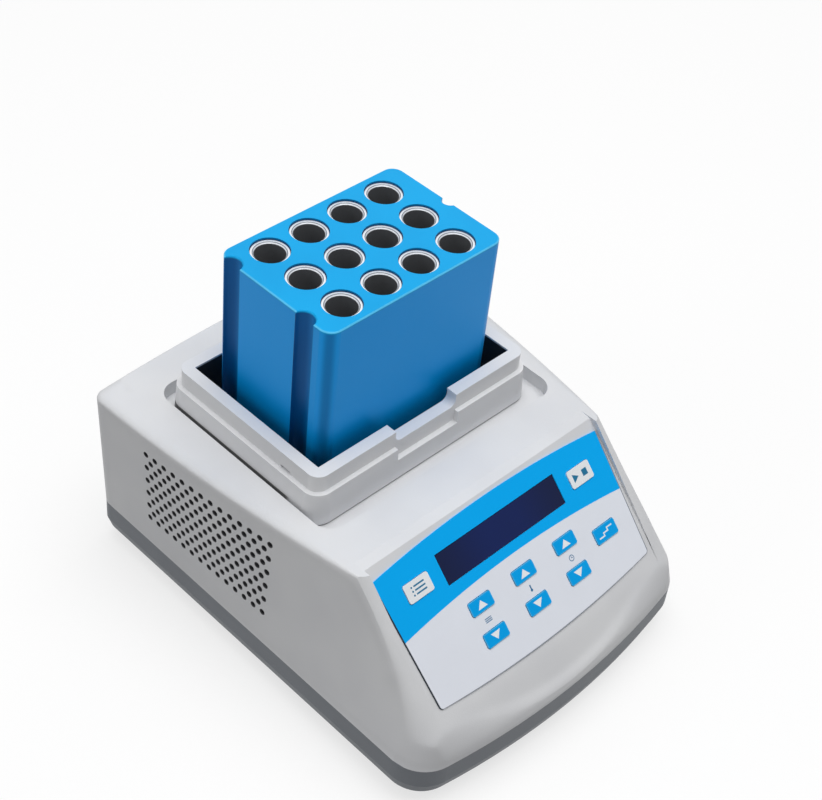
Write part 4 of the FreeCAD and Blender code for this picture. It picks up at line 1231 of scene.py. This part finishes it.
@dataclass
class Panel(SubAssembly):
    """The sloping panel with its label, window, keys and boards."""

    plane: PanelPlane = PanelPlane()
    white: Colour = screen(248, 251, 254)
    blue: Colour = screen(0, 172, 250)
    teal: Colour = screen(40, 120, 160)
    # Key rim colours: printed borders, lightened as a painted highlight.
    white_rim: Colour = screen(248, 250, 252)
    blue_rim: Colour = screen(92, 190, 240)
    pad_half: tuple[float, float] = (8.0, 4.8)
    step_half: tuple[float, float] = (8.0, 4.1)
    arrow_half: tuple[float, float] = (7.5, 3.7)

    def key(self, name: str, mark: KeyMark) -> bpy.types.Material:
        """Make one key's finish, centred on the key.

        Args:
            name: The key's node.
            mark: What is printed on it.

        Returns:
            The material.
        """
        low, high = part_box(name)
        middle = (low + high) / (2.0 * MILLIMETRE)
        up = self.plane.up(middle.y, middle.z)
        if mark in (KeyMark.LIST, KeyMark.RUN):
            half, colours = self.pad_half, (self.white, self.teal, self.white_rim)
        else:
            half = self.step_half if mark is KeyMark.STEP else self.arrow_half
            colours = (self.blue, self.white, self.blue_rim)
        return KeyCap(f"{name}_cap", mark, middle.x, up, *half, *colours).material(self.plane)

    def finishes(self) -> dict[str, bpy.types.Material]:
        """Make the finish of every node.

        Returns:
            A material for each node's name.
        """
        board = BOARD.material()
        made = {
            "panel_label": PrintedLabel().material(self.plane),
            "display_window": DarkGlass().material(self.plane),
            "display_module": BLACK.material(), "control_board": board, "power_board": board,
            "board_pillars": BRASS.material(), "power_board_pillars": BRASS.material(),
            "key_switches": BLACK.material(), "transformer": VARNISH.material(),
            "heat_sink": BLACK_METAL.material(),
        }
        marks = {"option_key": KeyMark.LIST, "start_stop_key": KeyMark.RUN, "step_key": KeyMark.STEP}
        for column in ("left", "middle", "right"):
            marks[f"up_key_{column}"] = KeyMark.UP
            marks[f"down_key_{column}"] = KeyMark.DOWN
        return made | {name: self.key(name, mark) for name, mark in marks.items()}


@dataclass
class BackPanel(SubAssembly):
    """The mains inlet, its fuse drawer and the power switch."""

    def finishes(self) -> dict[str, bpy.types.Material]:
        """Make the finish of every node.

        Returns:
            A material for each node's name.
        """
        black = BLACK.material()
        return {
            "power_inlet": black, "fuse_drawer": black, "power_switch_frame": black,
            "power_rocker": ROCKER.material(),
        }


@dataclass(frozen=True)
class Lamp:
    """A square soft lamp: where it hangs, its side in metres and its power in watts."""

    name: str
    at: tuple[float, float, float]
    side: float
    power: float

    def hang(self, target: Vector) -> None:
        """Hang the lamp so that it faces a point.

        Args:
            target: The point.
        """
        data = bpy.data.lights.new(self.name, "AREA")
        data.energy = self.power
        data.size = self.side
        thing = bpy.data.objects.new(self.name, data)
        turn = (target - Vector(self.at)).to_track_quat("-Z", "Y")
        thing.matrix_world = Matrix.Translation(self.at) @ turn.to_matrix().to_4x4()
        bpy.context.scene.collection.objects.link(thing)


@dataclass
class Studio:
    """A pale floor, soft lamps and the camera, in metres."""

    floor_half: float = 6.0
    floor_colour: Colour = (0.3, 0.3, 0.3)
    floor_lift: Colour = (0.7, 0.7, 0.7)
    floor_fade: tuple[float, float] = (0.5, 2.0)
    floor_roughness: float = 0.9
    floor_gloss: float = 0.1
    ambient: float = 0.26
    backdrop: float = 1.0
    lamps: tuple[Lamp, ...] = (
        Lamp("overhead", (0.15, -0.1, 2.2), 2.0, 40.0), Lamp("left", (-1.9, 0.8, 1.0), 1.2, 6.0),
    )
    lamp_target: tuple[float, float, float] = (0.0, 0.0, 0.1)
    camera_at: tuple[float, float, float] = (-0.46922, -0.40554, 0.70049)
    camera_right: tuple[float, float, float] = (0.70823, -0.70089, 0.08465)
    camera_up: tuple[float, float, float] = (0.42674, 0.52053, 0.73955)
    focal: float = 74.63
    shift_up: float = -0.0268

    def floor(self) -> None:
        """Lay a flat square floor at the height of the feet, which keeps the shadow and fades to white."""
        half = self.floor_half
        grid = np.array(((-half, -half, 0.0), (half, -half, 0.0), (half, half, 0.0), (-half, half, 0.0)))
        mesh = bpy.data.meshes.new("floor")
        mesh.from_pydata(grid.tolist(), [], [(0, 1, 2, 3)])
        thing = bpy.data.objects.new("floor", mesh)
        bpy.context.scene.collection.objects.link(thing)
        graph = Graph.paint("floor_paint")
        x, y, _ = graph.place()
        far = ((x * x + y * y).root() * MILLIMETRE).rise(*self.floor_fade)
        white = graph.mixed(far, self.floor_lift, WHITE_LIGHT)
        mesh.materials.append(graph.surface(
            Base_Color=graph.mixed(far, self.floor_colour, BLACKOUT), Roughness=self.floor_roughness,
            Specular_IOR_Level=self.floor_gloss, Emission_Strength=self.backdrop,
            Emission_Color=graph.mixed(graph.seen(), BLACKOUT, white)))

    def world(self) -> None:
        """Light the room evenly, with a white backdrop."""
        world = bpy.data.worlds.new("room")
        graph = Graph(world)
        strength = self.ambient + graph.seen() * (self.backdrop - self.ambient)
        inputs = {"Color": WHITE_LIGHT, "Strength": strength}
        glow = graph.value("ShaderNodeBackground", 0, None, inputs)
        graph.node("ShaderNodeOutputWorld", None, {"Surface": glow})
        bpy.context.scene.world = world

    def camera(self) -> None:
        """Set the camera where the photograph was taken from."""
        data = bpy.data.cameras.new("camera")
        data.lens = self.focal
        data.shift_y = self.shift_up
        right = Vector(self.camera_right).normalized()
        up = Vector(self.camera_up).normalized()
        back = right.cross(up)
        turn = Matrix((right, up, back)).transposed().to_4x4()
        thing = bpy.data.objects.new("camera", data)
        thing.matrix_world = Matrix.Translation(self.camera_at) @ turn
        bpy.context.scene.collection.objects.link(thing)
        bpy.context.scene.camera = thing

    def build(self) -> None:
        """Set up the whole studio."""
        self.floor()
        for lamp in self.lamps:
            lamp.hang(Vector(self.lamp_target))
        self.world()
        self.camera()
        bpy.context.scene.view_settings.view_transform = "Standard"
        LOG.info("studio: floor, %d lamps, camera", len(self.lamps))


def main() -> None:
    """Dress the machine and set up the studio."""
    logging.basicConfig(level=logging.INFO, format="%(message)s")
    for part in (Case(), Well(), Block(), Panel(), BackPanel()):
        part.dress()
    Studio().build()


if __name__ == "__main__":
    main()
